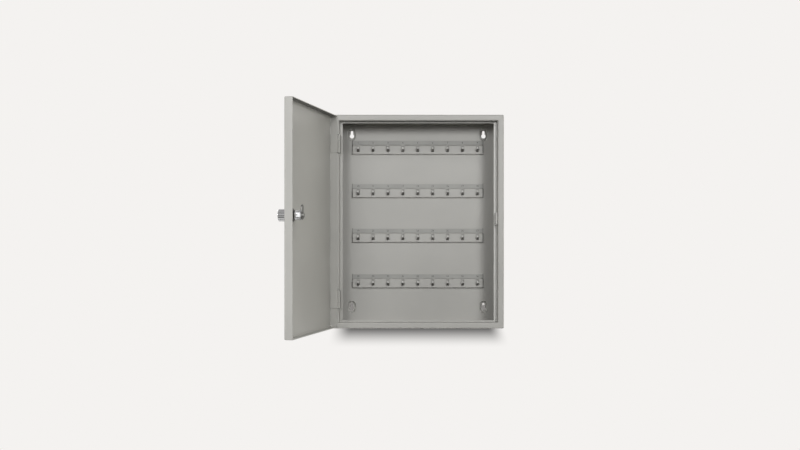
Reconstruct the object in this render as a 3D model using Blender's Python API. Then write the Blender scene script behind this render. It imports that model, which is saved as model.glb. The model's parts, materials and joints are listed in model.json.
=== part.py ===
"""Wall-hung steel key cabinet with four hook bars, a hinged door and a knob lock.

The model is in metres with +Z up. The origin is the centre of the wall plane, the
cabinet's front faces -Y, and the door stands open as it does in daily use.
"""

import math

import bmesh
import bpy
from mathutils import Matrix, Vector

# Driving dimensions of the cabinet body
BODY_WIDTH = 0.240
BODY_HEIGHT = 0.300
BODY_DEPTH = 0.070
SHEET = 0.0010
BEND_RADIUS = 0.0008
FRAME_BAND_SIDE = 0.0088
FRAME_BAND_END = 0.0085
FRAME_RECESS = 0.0120
FRAME_LIP_SIDE = 0.0045
FRAME_LIP_END = 0.0024

# Back panel and its four keyholes
BACK_STANDOFF = 0.0030
BACK_FLANGE = 0.0080
KEYHOLE_FROM_SIDE = 0.0240
KEYHOLE_FROM_TOP = 0.0220
KEYHOLE_FROM_BOTTOM = 0.0269
DISH_WIDTH = 0.0105
DISH_HEIGHT = 0.0170
DISH_SLOPE = 0.0011
KEYHOLE_HEAD_RADIUS = 0.0031
KEYHOLE_SLOT_RADIUS = 0.0017
KEYHOLE_HEAD_DROP = 0.0021
KEYHOLE_SLOT_RISE = 0.0039

# Hook bars and their number strips
BAR_FOLD_SHARES = (0.374, 0.164, -0.053, -0.274)
BAR_FROM_SIDE = 0.0246
BAR_STEP = 0.0022
BAR_LABEL_HEIGHT = 0.0073
HOOKS_PER_BAR = 9
HOOK_FROM_END = 0.0086
HOOK_ROOT_WIDTH = 0.0037
HOOK_TIP_WIDTH = 0.0024
HOOK_LENGTH = 0.0097
HOOK_TIP_LENGTH = 0.0020
HOOK_LEAN_DEG = 26.0
HOOK_TIP_LEAN_DEG = 80.0
HOOK_DROP = 0.0096
HOOK_FOOT = 0.0037
STRIP_THICKNESS = 0.0005
STRIP_MARGIN = 0.0006

# Door
DOOR_MARGIN = 0.0017
DOOR_DEPTH = 0.0106
DOOR_FRAME_GAP = 0.0006
DOOR_OPEN_DEG = 100.8

# Hinges
HINGE_FROM_SIDE = 0.0085
HINGE_SINK = 0.00125
HINGE_FROM_DOOR_END = 0.0393
HINGE_LENGTH = 0.0252
HINGE_SEGMENT_GAP = 0.0005
HINGE_NOTCH_END = 0.0012
HINGE_TO_DOOR = 0.0035
KNUCKLE_RADIUS = 0.0023
LEAF_THICKNESS = 0.0010
PIN_RADIUS = 0.0010
PIN_HEAD_RADIUS = 0.0018
PIN_HEAD_HEIGHT = 0.0007

# Lock
LOCK_FROM_EDGE = 0.0208
LOCK_RISE = 0.0041
KNOB_RADIUS = 0.0079
KNOB_PROUD = 0.0126
KNOB_CHAMFER = 0.0013
KNOB_FOOT_CHAMFER = 0.0004
KNOB_FLUTES = 14
KNOB_FLUTE_DEPTH = 0.0005
ROSETTE_RADIUS = 0.0087
ROSETTE_THICKNESS = 0.0012
PLUG_RADIUS = 0.0043
PLUG_LENGTH = 0.0075
PLUG_PROUD = 0.0003
KEYWAY_WIDTH = 0.0013
KEYWAY_HEIGHT = 0.0052
KEYWAY_DEPTH = 0.0060
BARREL_RADIUS = 0.00625
BARREL_LENGTH = 0.0162
BARREL_FLAT = 0.0055
SPINDLE_RADIUS = 0.0035
SPINDLE_SQUARE = 0.0046
WASHER_RADIUS = 0.0092
WASHER_THICKNESS = 0.0010
NUT_CORNER_RADIUS = 0.0089
NUT_THICKNESS = 0.0036
CAM_THICKNESS = 0.0015
CAM_WIDTH = 0.0080
CAM_HUB_RADIUS = 0.0055
CAM_WALL_CLEARANCE = 0.0006
SCREW_HEAD_RADIUS = 0.0034
SCREW_HEAD_HEIGHT = 0.0017
SCREW_SHANK_RADIUS = 0.0013
SCREW_LENGTH = 0.0060
SCREW_SLOT_WIDTH = 0.0008
SCREW_SLOT_DEPTH = 0.0008

# Strike that the cam turns behind
STRIKE_WIDTH = 0.0022
STRIKE_THICKNESS = 0.0012
STRIKE_CAM_GAP = 0.0012
STRIKE_LEG_CLEARANCE = 0.0006

# Clearances shared by every piece
FIT = 0.0003
OVERRUN = 0.0020

# Facets
BEND_STEPS = 3
ROUND_STEPS = 48
SMALL_STEPS = 24
OBROUND_STEPS = 10
FLUTE_STEPS = 6
SMOOTH_DEG = 32.0

# Places that follow from the sizes above
HALF_WIDTH = BODY_WIDTH / 2
HALF_HEIGHT = BODY_HEIGHT / 2
FRONT_Y = -BODY_DEPTH
LIP_FRONT_Y = FRONT_Y + FRAME_RECESS
BACK_FRONT_Y = -BACK_STANDOFF - SHEET
BAR_REAR_Y = BACK_FRONT_Y - FIT
BAR_FRONT_Y = BAR_REAR_Y - SHEET - BAR_STEP
BAR_HALF_WIDTH = HALF_WIDTH - BAR_FROM_SIDE
BAR_DROP = HOOK_DROP + HOOK_FOOT
HINGE_X = -HALF_WIDTH + HINGE_FROM_SIDE
HINGE_Y = FRONT_Y + HINGE_SINK
HINGE_BORE = PIN_RADIUS + FIT
SEGMENT_LENGTH = (HINGE_LENGTH - 2 * HINGE_SEGMENT_GAP) / 3
DOOR_HALF_HEIGHT = HALF_HEIGHT - DOOR_MARGIN
DOOR_RIM_Y = -HINGE_SINK - DOOR_FRAME_GAP
DOOR_FACE_Y = DOOR_RIM_Y - DOOR_DEPTH
DOOR_LEFT_X = HINGE_TO_DOOR
DOOR_RIGHT_X = HALF_WIDTH - DOOR_MARGIN - HINGE_X
HINGE_Z = DOOR_HALF_HEIGHT - HINGE_FROM_DOOR_END
LOCK_X = DOOR_RIGHT_X - LOCK_FROM_EDGE
RECESS_X = HALF_WIDTH - FRAME_BAND_SIDE
CAM_REACH = RECESS_X - HINGE_X - LOCK_X - CAM_WALL_CLEARANCE
CAM_START = BARREL_LENGTH + FIT
CAM_FRONT_Y = HINGE_Y + DOOR_FACE_Y + CAM_START
STRIKE_REAR_Y = CAM_FRONT_Y - STRIKE_CAM_GAP
STRIKE_LEFT_X = RECESS_X - FIT - STRIKE_WIDTH
STRIKE_INNER_HALF = math.sqrt(
    (CAM_REACH + STRIKE_LEG_CLEARANCE) ** 2 - (STRIKE_LEFT_X - HINGE_X - LOCK_X) ** 2
)
STRIKE_HALF = STRIKE_INNER_HALF + STRIKE_THICKNESS

# Colour, roughness and metallic value of each finish
FINISHES = {
    "grey_paint": ((0.42, 0.42, 0.40), 0.45, 0.0),
    "label_strip": ((0.30, 0.31, 0.29), 0.60, 0.0),
    "zinc_plate": ((0.55, 0.55, 0.54), 0.35, 1.0),
    "chrome": ((0.80, 0.80, 0.80), 0.12, 1.0),
}


def clear_scene():
    """Remove every object that the file starts with."""
    for item in list(bpy.data.objects):
        bpy.data.objects.remove(item)


def finish(name):
    """Return the material of one finish, made on first use."""
    material = bpy.data.materials.get(name)
    if material is None:
        colour, roughness, metallic = FINISHES[name]
        material = bpy.data.materials.new(name)
        material.use_nodes = True
        shader = material.node_tree.nodes["Principled BSDF"]
        shader.inputs["Base Color"].default_value = (*colour, 1.0)
        shader.inputs["Roughness"].default_value = roughness
        shader.inputs["Metallic"].default_value = metallic
    return material


def empty(name, place, parent=None):
    """Make an empty that carries the pieces of one moving body."""
    item = bpy.data.objects.new(name, None)
    item.location = place
    item.parent = parent
    bpy.context.collection.objects.link(item)
    return item


def lofted(name, loops, ringed=False):
    """Skin a row of point loops, with flat ends or, if ringed, as a closed ring."""
    mesh = bmesh.new()
    rows = [[mesh.verts.new(point) for point in loop] for loop in loops]
    count = len(rows[0])
    pairs = list(zip(rows, rows[1:]))
    if ringed:
        pairs.append((rows[-1], rows[0]))
    else:
        mesh.faces.new(list(reversed(rows[0])))
        mesh.faces.new(rows[-1])
    for near, far in pairs:
        for i in range(count):
            j = (i + 1) % count
            mesh.faces.new((near[i], near[j], far[j], far[i]))
    bmesh.ops.recalc_face_normals(mesh, faces=mesh.faces)
    data = bpy.data.meshes.new(name)
    mesh.to_mesh(data)
    mesh.free()
    item = bpy.data.objects.new(name, data)
    bpy.context.collection.objects.link(item)
    return item


def box(name, low, high):
    """Make a plain block between two corners."""
    loops = []
    for z in (low[2], high[2]):
        loops.append([
            (low[0], low[1], z), (high[0], low[1], z), (high[0], high[1], z), (low[0], high[1], z),
        ])
    return lofted(name, loops)


def prism_z(name, outline, low_z, high_z):
    """Extrude an outline in the plan (x, y) between two heights."""
    return lofted(name, [[(x, y, z) for x, y in outline] for z in (low_z, high_z)])


def prism_x(name, outline, low_x, high_x):
    """Extrude an outline in the side view (y, z) between two places along x."""
    return lofted(name, [[(x, y, z) for y, z in outline] for x in (low_x, high_x)])


def turned_y(name, profile, steps, outline=None):
    """Turn a profile of (radius, place along y) pairs about the y axis."""
    loops = []
    for radius, y in profile:
        loop = []
        for i in range(steps):
            angle = 2 * math.pi * i / steps
            reach = radius if outline is None else radius - outline(angle)
            loop.append((reach * math.cos(angle), y, reach * math.sin(angle)))
        loops.append(loop)
    return lofted(name, loops)


def cylinder_z(name, x, y, radius, low_z, high_z, steps):
    """Make an upright cylinder."""
    turns = [2 * math.pi * i / steps for i in range(steps)]
    outline = [(x + radius * math.cos(turn), y + radius * math.sin(turn)) for turn in turns]
    return prism_z(name, outline, low_z, high_z)


def obround(half_width, low, high, steps):
    """Return the outline (x, z) of an upright slot with round ends."""
    points = []
    for i in range(steps + 1):
        angle = math.pi * i / steps
        points.append((half_width * math.cos(angle), high + half_width * math.sin(angle)))
    for i in range(steps + 1):
        angle = math.pi + math.pi * i / steps
        points.append((half_width * math.cos(angle), low + half_width * math.sin(angle)))
    return points


def boolean(target, tool, operation):
    """Cut a tool from a target, or join it on, and remove the tool."""
    modifier = target.modifiers.new(operation.lower(), "BOOLEAN")
    modifier.object = tool
    modifier.operation = operation
    modifier.solver = "EXACT"
    graph = bpy.context.evaluated_depsgraph_get()
    data = bpy.data.meshes.new_from_object(target.evaluated_get(graph))
    target.modifiers.clear()
    old = target.data
    target.data = data
    bpy.data.meshes.remove(old)
    bpy.data.objects.remove(tool)
    return target


def cut(target, tool):
    """Cut a tool from a target."""
    return boolean(target, tool, "DIFFERENCE")


def join(target, tool):
    """Join a tool to a target."""
    return boolean(target, tool, "UNION")


def dress(item, name, parent=None, smooth=False):
    """Give a piece its finish, its shading and the body that carries it."""
    item.data.materials.clear()
    item.data.materials.append(finish(name))
    item.parent = parent
    if smooth:
        item.data.shade_smooth()
        item.data.set_sharp_from_angle(angle=math.radians(SMOOTH_DEG))
    return item


def sheet_sides(corners, thickness, radius):
    """Return both sides of a sheet folded along a centreline, with round bends."""
    centres = [Vector(corner) for corner in corners]
    middle = []
    normals = []
    first = (centres[1] - centres[0]).normalized()
    middle.append(centres[0])
    normals.append(Vector((-first.y, first.x)))
    for before, corner, after in zip(centres, centres[1:], centres[2:]):
        inward = (corner - before).normalized()
        outward = (after - corner).normalized()
        turn = math.atan2(inward.x * outward.y - inward.y * outward.x, inward.dot(outward))
        bend = radius + thickness / 2
        setback = bend * math.tan(abs(turn) / 2)
        start = corner - inward * setback
        side = Vector((-inward.y, inward.x)) * math.copysign(1, turn)
        centre = start + side * bend
        for i in range(BEND_STEPS + 1):
            angle = turn * i / BEND_STEPS
            spoke = Vector((
                -side.x * math.cos(angle) + side.y * math.sin(angle),
                -side.x * math.sin(angle) - side.y * math.cos(angle),
            ))
            middle.append(centre + spoke * bend)
            normals.append(-spoke * math.copysign(1, turn))
    last = (centres[-1] - centres[-2]).normalized()
    middle.append(centres[-1])
    normals.append(Vector((-last.y, last.x)))
    half = thickness / 2
    left = [point + normal * half for point, normal in zip(middle, normals)]
    right = [point - normal * half for point, normal in zip(middle, normals)]
    return left, right


def sheet_outline(corners, thickness, radius):
    """Return the closed outline of a sheet folded along a centreline."""
    left, right = sheet_sides(corners, thickness, radius)
    return [tuple(point) for point in left + right[::-1]]


def corner_loop(inset_x, inset_z, y, low_x, high_x, half_height):
    """Return the four corners of a rectangle that is inset from a box's sides."""
    left = low_x + inset_x
    right = high_x - inset_x
    top = half_height - inset_z
    return [(left, y, -top), (right, y, -top), (right, y, top), (left, y, top)]


def body_shell():
    """Make the four walls with the front band, its recess and the inner lip in one sheet."""
    half = SHEET / 2

    def outline(band, lip):
        corners = [
            (half, 0.0),
            (half, FRONT_Y + half),
            (band - half, FRONT_Y + half),
            (band - half, LIP_FRONT_Y + half),
            (band + lip, LIP_FRONT_Y + half),
        ]
        return sheet_outline(corners, SHEET, BEND_RADIUS)

    sides = outline(FRAME_BAND_SIDE, FRAME_LIP_SIDE)
    ends = outline(FRAME_BAND_END, FRAME_LIP_END)
    loops = []
    for side, end in zip(sides, ends):
        loops.append(corner_loop(side[0], end[0], side[1], -HALF_WIDTH, HALF_WIDTH, HALF_HEIGHT))
    shell = lofted("body_shell", loops, ringed=True)
    for z in (HINGE_Z, -HINGE_Z):
        reach = HINGE_LENGTH / 2 + HINGE_NOTCH_END
        side = KNUCKLE_RADIUS + 2 * FIT
        low = (HINGE_X - side, FRONT_Y - OVERRUN, z - reach)
        high = (-RECESS_X + FIT, HINGE_Y + side, z + reach)
        cut(shell, box("hinge_notch", low, high))
    return dress(shell, "grey_paint")


def keyhole_places():
    """Return the centres (x, z) of the four dishes."""
    x = HALF_WIDTH - KEYHOLE_FROM_SIDE
    top = HALF_HEIGHT - KEYHOLE_FROM_TOP
    bottom = -HALF_HEIGHT + KEYHOLE_FROM_BOTTOM
    return [(-x, top), (x, top), (-x, bottom), (x, bottom)]


def obround_prism(name, x, z, stations):
    """Skin upright slots of (half width, half height, y) into one tapered block."""
    loops = []
    for half_width, half_height, y in stations:
        straight = half_height - half_width
        outline = obround(half_width, -straight, straight, OBROUND_STEPS)
        loops.append([(x + px, y, z + pz) for px, pz in outline])
    return lofted(name, loops)


def keyhole(name, x, z, low_y, high_y):
    """Make the cutter of one keyhole: a round head with a slot rising from it."""
    turns = [2 * math.pi * i / SMALL_STEPS for i in range(SMALL_STEPS)]
    head = []
    for y in (low_y, high_y):
        loop = []
        for turn in turns:
            px = KEYHOLE_HEAD_RADIUS * math.cos(turn)
            pz = KEYHOLE_HEAD_RADIUS * math.sin(turn) - KEYHOLE_HEAD_DROP
            loop.append((x + px, y, z + pz))
        head.append(loop)
    cutter = lofted(name, head)
    slot = obround(KEYHOLE_SLOT_RADIUS, -KEYHOLE_HEAD_DROP, KEYHOLE_SLOT_RISE, OBROUND_STEPS)
    loops = [[(x + px, y, z + pz) for px, pz in slot] for y in (low_y - FIT, high_y + FIT)]
    return join(cutter, lofted(name + "_slot", loops))


def back_panel():
    """Make the back tray, its flanges turned to the front and four dishes to the wall."""
    half = SHEET / 2
    inset = SHEET + FIT + half
    corners = [
        (inset, BACK_FRONT_Y - BACK_FLANGE),
        (inset, -BACK_STANDOFF - half),
        (inset + BACK_FLANGE, -BACK_STANDOFF - half),
    ]
    front, rear = sheet_sides(corners, SHEET, BEND_RADIUS)
    loops = []
    for point in front[::-1] + rear:
        loops.append(corner_loop(point.x, point.x, point.y, -HALF_WIDTH, HALF_WIDTH, HALF_HEIGHT))
    panel = lofted("back_panel", loops)
    width = DISH_WIDTH / 2
    height = DISH_HEIGHT / 2
    pad = DISH_SLOPE
    for x, z in keyhole_places():
        outer = [
            (width + SHEET, height + SHEET, -BACK_STANDOFF - half),
            (width + SHEET - pad, height + SHEET - pad, 0.0),
        ]
        join(panel, obround_prism("dish", x, z, outer))
    for x, z in keyhole_places():
        slope = pad * OVERRUN / BACK_STANDOFF
        inner = [
            (width + slope, height + slope, BACK_FRONT_Y - OVERRUN),
            (width - pad, height - pad, -SHEET),
        ]
        cut(panel, obround_prism("dish_hollow", x, z, inner))
        cut(panel, keyhole("keyhole", x, z, BACK_FRONT_Y, OVERRUN))
    return dress(panel, "grey_paint")


def hook_tongue(name, x, fold_z):
    """Make one tongue that leans out of its bar, with its end bent up."""
    lean = math.radians(HOOK_LEAN_DEG)
    tip = math.radians(HOOK_TIP_LEAN_DEG)
    root = Vector((BAR_FRONT_Y + SHEET / 2, fold_z - HOOK_DROP))
    elbow = root + HOOK_LENGTH * Vector((-math.cos(lean), math.sin(lean)))
    end = elbow + HOOK_TIP_LENGTH * Vector((-math.cos(tip), math.sin(tip)))
    left, right = sheet_sides([root, elbow, end], SHEET, BEND_RADIUS)
    loops = []
    count = len(left)
    for i, (above, below) in enumerate(zip(left, right)):
        share = i / (count - 1)
        half = (HOOK_ROOT_WIDTH * (1 - share) + HOOK_TIP_WIDTH * share) / 2
        loops.append([
            (x - half, above.x, above.y),
            (x + half, above.x, above.y),
            (x + half, below.x, below.y),
            (x - half, below.x, below.y),
        ])
    return lofted(name, loops)


def hook_places():
    """Return the hooks' places along a bar."""
    reach = BAR_HALF_WIDTH - HOOK_FROM_END
    return [-reach + 2 * reach * i / (HOOKS_PER_BAR - 1) for i in range(HOOKS_PER_BAR)]


def hook_bar(name, fold_z):
    """Make one bar: a label flange, a step, a face with nine hooks and a foot."""
    half = SHEET / 2
    corners = [
        (BAR_REAR_Y - half, fold_z + BAR_LABEL_HEIGHT),
        (BAR_REAR_Y - half, fold_z - half),
        (BAR_FRONT_Y + half, fold_z - half),
        (BAR_FRONT_Y + half, fold_z - BAR_DROP + half),
        (BAR_REAR_Y, fold_z - BAR_DROP + half),
    ]
    outline = sheet_outline(corners, SHEET, FIT)
    bar = prism_x(name, outline, -BAR_HALF_WIDTH, BAR_HALF_WIDTH)
    for x in hook_places():
        width = HOOK_ROOT_WIDTH / 2 + FIT
        low = (x - width, BAR_FRONT_Y - OVERRUN, fold_z - HOOK_DROP)
        high = (x + width, BAR_FRONT_Y + SHEET + FIT, fold_z + OVERRUN)
        cut(bar, box("hook_window", low, high))
    for x in hook_places():
        join(bar, hook_tongue("hook_tongue", x, fold_z))
    return dress(bar, "grey_paint")


def number_strip(name, fold_z):
    """Make the plastic strip on a bar's label flange."""
    front = BAR_REAR_Y - SHEET - FIT - STRIP_THICKNESS
    low = (-BAR_HALF_WIDTH + STRIP_MARGIN, front, fold_z + STRIP_MARGIN)
    high = (BAR_HALF_WIDTH - STRIP_MARGIN, front + STRIP_THICKNESS, fold_z + BAR_LABEL_HEIGHT - STRIP_MARGIN)
    return dress(box(name, low, high), "label_strip")


def strike():
    """Make the staple in the recess that the cam turns behind."""
    half = STRIKE_THICKNESS / 2
    front = STRIKE_REAR_Y - half
    leg = STRIKE_HALF - half
    rear = LIP_FRONT_Y - FIT
    corners = [
        (rear, LOCK_RISE - leg), (front, LOCK_RISE - leg), (front, LOCK_RISE + leg), (rear, LOCK_RISE + leg),
    ]
    outline = sheet_outline(corners, STRIKE_THICKNESS, FIT)
    item = prism_x("strike", outline, STRIKE_LEFT_X, STRIKE_LEFT_X + STRIKE_WIDTH)
    return dress(item, "grey_paint")


def door_pan(parent):
    """Make the door: a face with four flanges folded towards the body, and the lock's hole."""
    half = SHEET / 2
    corners = [
        (half, DOOR_RIM_Y),
        (half, DOOR_FACE_Y + half),
        (half + DOOR_DEPTH, DOOR_FACE_Y + half),
    ]
    inner, outer = sheet_sides(corners, SHEET, BEND_RADIUS)
    loops = []
    for point in outer[::-1] + inner:
        loops.append(corner_loop(point.x, point.x, point.y, DOOR_LEFT_X, DOOR_RIGHT_X, DOOR_HALF_HEIGHT))
    pan = lofted("door_pan", loops)
    hole = barrel_block("lock_hole", FIT, -OVERRUN, SHEET + OVERRUN)
    for vertex in hole.data.vertices:
        vertex.co += Vector((LOCK_X, DOOR_FACE_Y, LOCK_RISE))
    cut(pan, hole)
    return dress(pan, "grey_paint", parent)


def hinge_body_leaf(name, z):
    """Make the leaf in the recess, which carries the middle knuckle."""
    near = -RECESS_X + FIT
    reach = HINGE_LENGTH / 2
    low = (near, HINGE_Y, z - reach)
    high = (near + LEAF_THICKNESS, LIP_FRONT_Y - FIT, z + reach)
    leaf = box(name, low, high)
    middle = SEGMENT_LENGTH / 2
    room = KNUCKLE_RADIUS + FIT
    for start, end in ((-reach - OVERRUN, -middle), (middle, reach + OVERRUN)):
        low = (near - OVERRUN, HINGE_Y - OVERRUN, z + start)
        high = (near + OVERRUN, HINGE_Y + room, z + end)
        cut(leaf, box("knuckle_room", low, high))
    knuckle = cylinder_z("knuckle", HINGE_X, HINGE_Y, KNUCKLE_RADIUS, z - middle, z + middle, SMALL_STEPS)
    join(leaf, knuckle)
    bore = cylinder_z("bore", HINGE_X, HINGE_Y, HINGE_BORE, z - reach, z + reach, SMALL_STEPS)
    cut(leaf, bore)
    return dress(leaf, "grey_paint", smooth=True)


def hinge_door_leaf(name, z, parent):
    """Make the leaf inside the door's flange, which carries the two outer knuckles."""
    half = LEAF_THICKNESS / 2
    arm_y = DOOR_RIM_Y + FIT + half
    plate_x = DOOR_LEFT_X + SHEET + FIT + half
    end_y = DOOR_FACE_Y + SHEET + FIT
    reach = HINGE_LENGTH / 2
    outline = sheet_outline([(0.0, arm_y), (plate_x, arm_y), (plate_x, end_y)], LEAF_THICKNESS, FIT)
    leaf = prism_z(name, outline, z - reach, z + reach)
    middle = SEGMENT_LENGTH / 2 + HINGE_SEGMENT_GAP
    room = KNUCKLE_RADIUS + FIT
    cut(leaf, box("knuckle_room", (-room, -room, z - middle), (room, room, z + middle)))
    for start, end in ((-reach, -middle), (middle, reach)):
        knuckle = cylinder_z("knuckle", 0.0, 0.0, KNUCKLE_RADIUS, z + start, z + end, SMALL_STEPS)
        join(leaf, knuckle)
    bore = cylinder_z("bore", 0.0, 0.0, HINGE_BORE, z - reach - FIT, z + reach + FIT, SMALL_STEPS)
    cut(leaf, bore)
    return dress(leaf, "grey_paint", parent, smooth=True)


def hinge_pin(name, z):
    """Make one hinge pin with a head at each end."""
    reach = HINGE_LENGTH / 2 + FIT
    pin = cylinder_z(name, HINGE_X, HINGE_Y, PIN_RADIUS, z - reach - FIT, z + reach + FIT, SMALL_STEPS)
    for start, end in ((-reach - PIN_HEAD_HEIGHT, -reach), (reach, reach + PIN_HEAD_HEIGHT)):
        head = cylinder_z("head", HINGE_X, HINGE_Y, PIN_HEAD_RADIUS, z + start, z + end, SMALL_STEPS)
        join(pin, head)
    return dress(pin, "zinc_plate", smooth=True)


def barrel_block(name, grow, start, end):
    """Make the barrel's round block with two flats, grown all round by a clearance."""
    block = turned_y(name, [(BARREL_RADIUS + grow, start), (BARREL_RADIUS + grow, end)], ROUND_STEPS)
    flat = BARREL_FLAT + grow
    far = BARREL_RADIUS + grow + OVERRUN
    for low_x, high_x in ((-far, -flat), (flat, far)):
        cut(block, box("flat", (low_x, start - OVERRUN, -far), (high_x, end + OVERRUN, far)))
    return block


def lock_housing(parent):
    """Make the rosette and the flatted barrel that holds the spindle."""
    housing = barrel_block("lock_housing", 0.0, -ROSETTE_THICKNESS, BARREL_LENGTH)
    chamfer = ROSETTE_THICKNESS / 2
    profile = [
        (ROSETTE_RADIUS - chamfer, -FIT - ROSETTE_THICKNESS),
        (ROSETTE_RADIUS, -FIT - chamfer),
        (ROSETTE_RADIUS, -FIT),
    ]
    join(housing, turned_y("rosette", profile, ROUND_STEPS))
    bore = SPINDLE_RADIUS + FIT
    cut(housing, turned_y("bore", [(bore, -OVERRUN), (bore, BARREL_LENGTH + OVERRUN)], SMALL_STEPS))
    return dress(housing, "chrome", parent, smooth=True)


def lock_washer(parent):
    """Make the washer between the door and the nut."""
    start = SHEET + FIT
    end = start + WASHER_THICKNESS
    washer = turned_y("lock_washer", [(WASHER_RADIUS, start), (WASHER_RADIUS, end)], ROUND_STEPS)
    bore = BARREL_RADIUS + FIT
    cut(washer, turned_y("bore", [(bore, start - OVERRUN), (bore, end + OVERRUN)], ROUND_STEPS))
    return dress(washer, "zinc_plate", parent, smooth=True)


def lock_nut(parent):
    """Make the hexagon nut on the barrel."""
    start = SHEET + FIT + WASHER_THICKNESS + FIT
    end = start + NUT_THICKNESS
    chamfer = NUT_CORNER_RADIUS * (1 - math.cos(math.pi / 6))
    nut = turned_y("lock_nut", [(NUT_CORNER_RADIUS, start), (NUT_CORNER_RADIUS, end)], 6)
    nut.data.transform(turn_about_y(math.pi / 6))
    crown = [
        (NUT_CORNER_RADIUS + FIT, start - OVERRUN),
        (NUT_CORNER_RADIUS + FIT, end - chamfer / 2),
        (NUT_CORNER_RADIUS - chamfer, end + FIT),
    ]
    boolean(nut, turned_y("crown", crown, ROUND_STEPS), "INTERSECT")
    bore = BARREL_RADIUS + FIT
    cut(nut, turned_y("bore", [(bore, start - OVERRUN), (bore, end + OVERRUN)], ROUND_STEPS))
    return dress(nut, "zinc_plate", parent)


def turn_about_y(angle):
    """Return the matrix of a turn about the y axis."""
    return Matrix.Rotation(angle, 4, "Y")


def knob(parent):
    """Make the fluted knob with its spindle, the plug's bore and the cam's square."""
    base = -ROSETTE_THICKNESS - 2 * FIT
    face = -KNOB_PROUD
    profile = [
        (KNOB_RADIUS - KNOB_FOOT_CHAMFER, base),
        (KNOB_RADIUS, base - KNOB_FOOT_CHAMFER),
        (KNOB_RADIUS, face + KNOB_CHAMFER),
        (KNOB_RADIUS - KNOB_CHAMFER, face),
    ]

    def flute(angle):
        wave = math.cos(KNOB_FLUTES * angle)
        return KNOB_FLUTE_DEPTH * (1 - wave) / 2

    item = turned_y("knob", profile, KNOB_FLUTES * FLUTE_STEPS, flute)
    stem = [(SPINDLE_RADIUS, base - FIT), (SPINDLE_RADIUS, BARREL_LENGTH)]
    join(item, turned_y("spindle", stem, SMALL_STEPS))
    side = SPINDLE_SQUARE / 2
    low = (-side, BARREL_LENGTH - OVERRUN, -side)
    high = (side, CAM_START + CAM_THICKNESS, side)
    join(item, box("square", low, high))
    bore = PLUG_RADIUS + FIT
    depth = face + PLUG_LENGTH + FIT
    cut(item, turned_y("plug_bore", [(bore, face - OVERRUN), (bore, depth)], SMALL_STEPS))
    hole = SCREW_SHANK_RADIUS + FIT
    end = CAM_START + CAM_THICKNESS
    start = end + FIT - SCREW_LENGTH - FIT
    cut(item, turned_y("screw_hole", [(hole, start), (hole, end + OVERRUN)], SMALL_STEPS))
    return dress(item, "chrome", parent, smooth=True)


def key_plug(parent):
    """Make the plug in the knob's face with its keyway."""
    start = -KNOB_PROUD - PLUG_PROUD
    end = -KNOB_PROUD + PLUG_LENGTH
    chamfer = PLUG_PROUD
    profile = [(PLUG_RADIUS - chamfer, start), (PLUG_RADIUS, start + chamfer), (PLUG_RADIUS, end)]
    plug = turned_y("key_plug", profile, SMALL_STEPS)
    low = (-KEYWAY_WIDTH / 2, start - OVERRUN, -KEYWAY_HEIGHT / 2)
    high = (KEYWAY_WIDTH / 2, start + KEYWAY_DEPTH, KEYWAY_HEIGHT / 2)
    cut(plug, box("keyway", low, high))
    return dress(plug, "chrome", parent, smooth=True)


def cam(parent):
    """Make the cam, pointing up as it stands when the lock is open."""
    start = CAM_START
    end = CAM_START + CAM_THICKNESS
    half = CAM_WIDTH / 2
    arm = obround(half, 0.0, CAM_REACH - half, OBROUND_STEPS)
    item = lofted("cam", [[(x, y, z) for x, z in arm] for y in (start, end)])
    join(item, turned_y("hub", [(CAM_HUB_RADIUS, start), (CAM_HUB_RADIUS, end)], SMALL_STEPS))
    side = SPINDLE_SQUARE / 2 + FIT
    cut(item, box("square", (-side, start - OVERRUN, -side), (side, end + OVERRUN, side)))
    return dress(item, "zinc_plate", parent)


def cam_screw(parent):
    """Make the screw that holds the cam on the spindle."""
    seat = CAM_START + CAM_THICKNESS + FIT
    top = seat + SCREW_HEAD_HEIGHT
    screw = turned_y(
        "cam_screw",
        [(SCREW_SHANK_RADIUS, seat - SCREW_LENGTH), (SCREW_SHANK_RADIUS, seat + FIT)],
        SMALL_STEPS,
    )
    rise = SCREW_HEAD_HEIGHT / 2
    head = [(SCREW_HEAD_RADIUS, seat), (SCREW_HEAD_RADIUS, top - rise), (SCREW_HEAD_RADIUS - rise, top)]
    join(screw, turned_y("head", head, SMALL_STEPS))
    half = SCREW_SLOT_WIDTH / 2
    far = SCREW_HEAD_RADIUS + OVERRUN
    cut(screw, box("slot", (-far, top - SCREW_SLOT_DEPTH, -half), (far, top + OVERRUN, half)))
    return dress(screw, "zinc_plate", parent, smooth=True)


def main():
    """Build the cabinet."""
    clear_scene()
    body_shell()
    back_panel()
    for number, share in enumerate(BAR_FOLD_SHARES, 1):
        hook_bar(f"hook_bar_{number}", BODY_HEIGHT * share)
        number_strip(f"number_strip_{number}", BODY_HEIGHT * share)
    strike()
    door = empty("door_axis", (HINGE_X, HINGE_Y, 0.0))
    door.rotation_euler = (0.0, 0.0, -math.radians(DOOR_OPEN_DEG))
    door_pan(door)
    for side, z in (("upper", HINGE_Z), ("lower", -HINGE_Z)):
        hinge_body_leaf(f"{side}_hinge_body_leaf", z)
        hinge_door_leaf(f"{side}_hinge_door_leaf", z, door)
        hinge_pin(f"{side}_hinge_pin", z)
    lock = empty("lock_axis", (LOCK_X, DOOR_FACE_Y, LOCK_RISE), door)
    lock_housing(lock)
    lock_washer(lock)
    lock_nut(lock)
    knob(lock)
    key_plug(lock)
    cam(lock)
    cam_screw(lock)


if __name__ == "__main__":
    main()
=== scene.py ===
"""Looks of a wall-hung steel key cabinet: folded sheet, powder paint, lock and studio.

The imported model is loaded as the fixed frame. Each class builds one sub-assembly of the
cabinet in metres, in the frame's own axes with the door standing open, and dresses it.
"""

from __future__ import annotations

import json
import logging
import math
from dataclasses import dataclass, field
from enum import Enum
from typing import Callable, Iterable, Sequence

import bmesh
import bpy
from mathutils import Matrix, Vector

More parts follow.
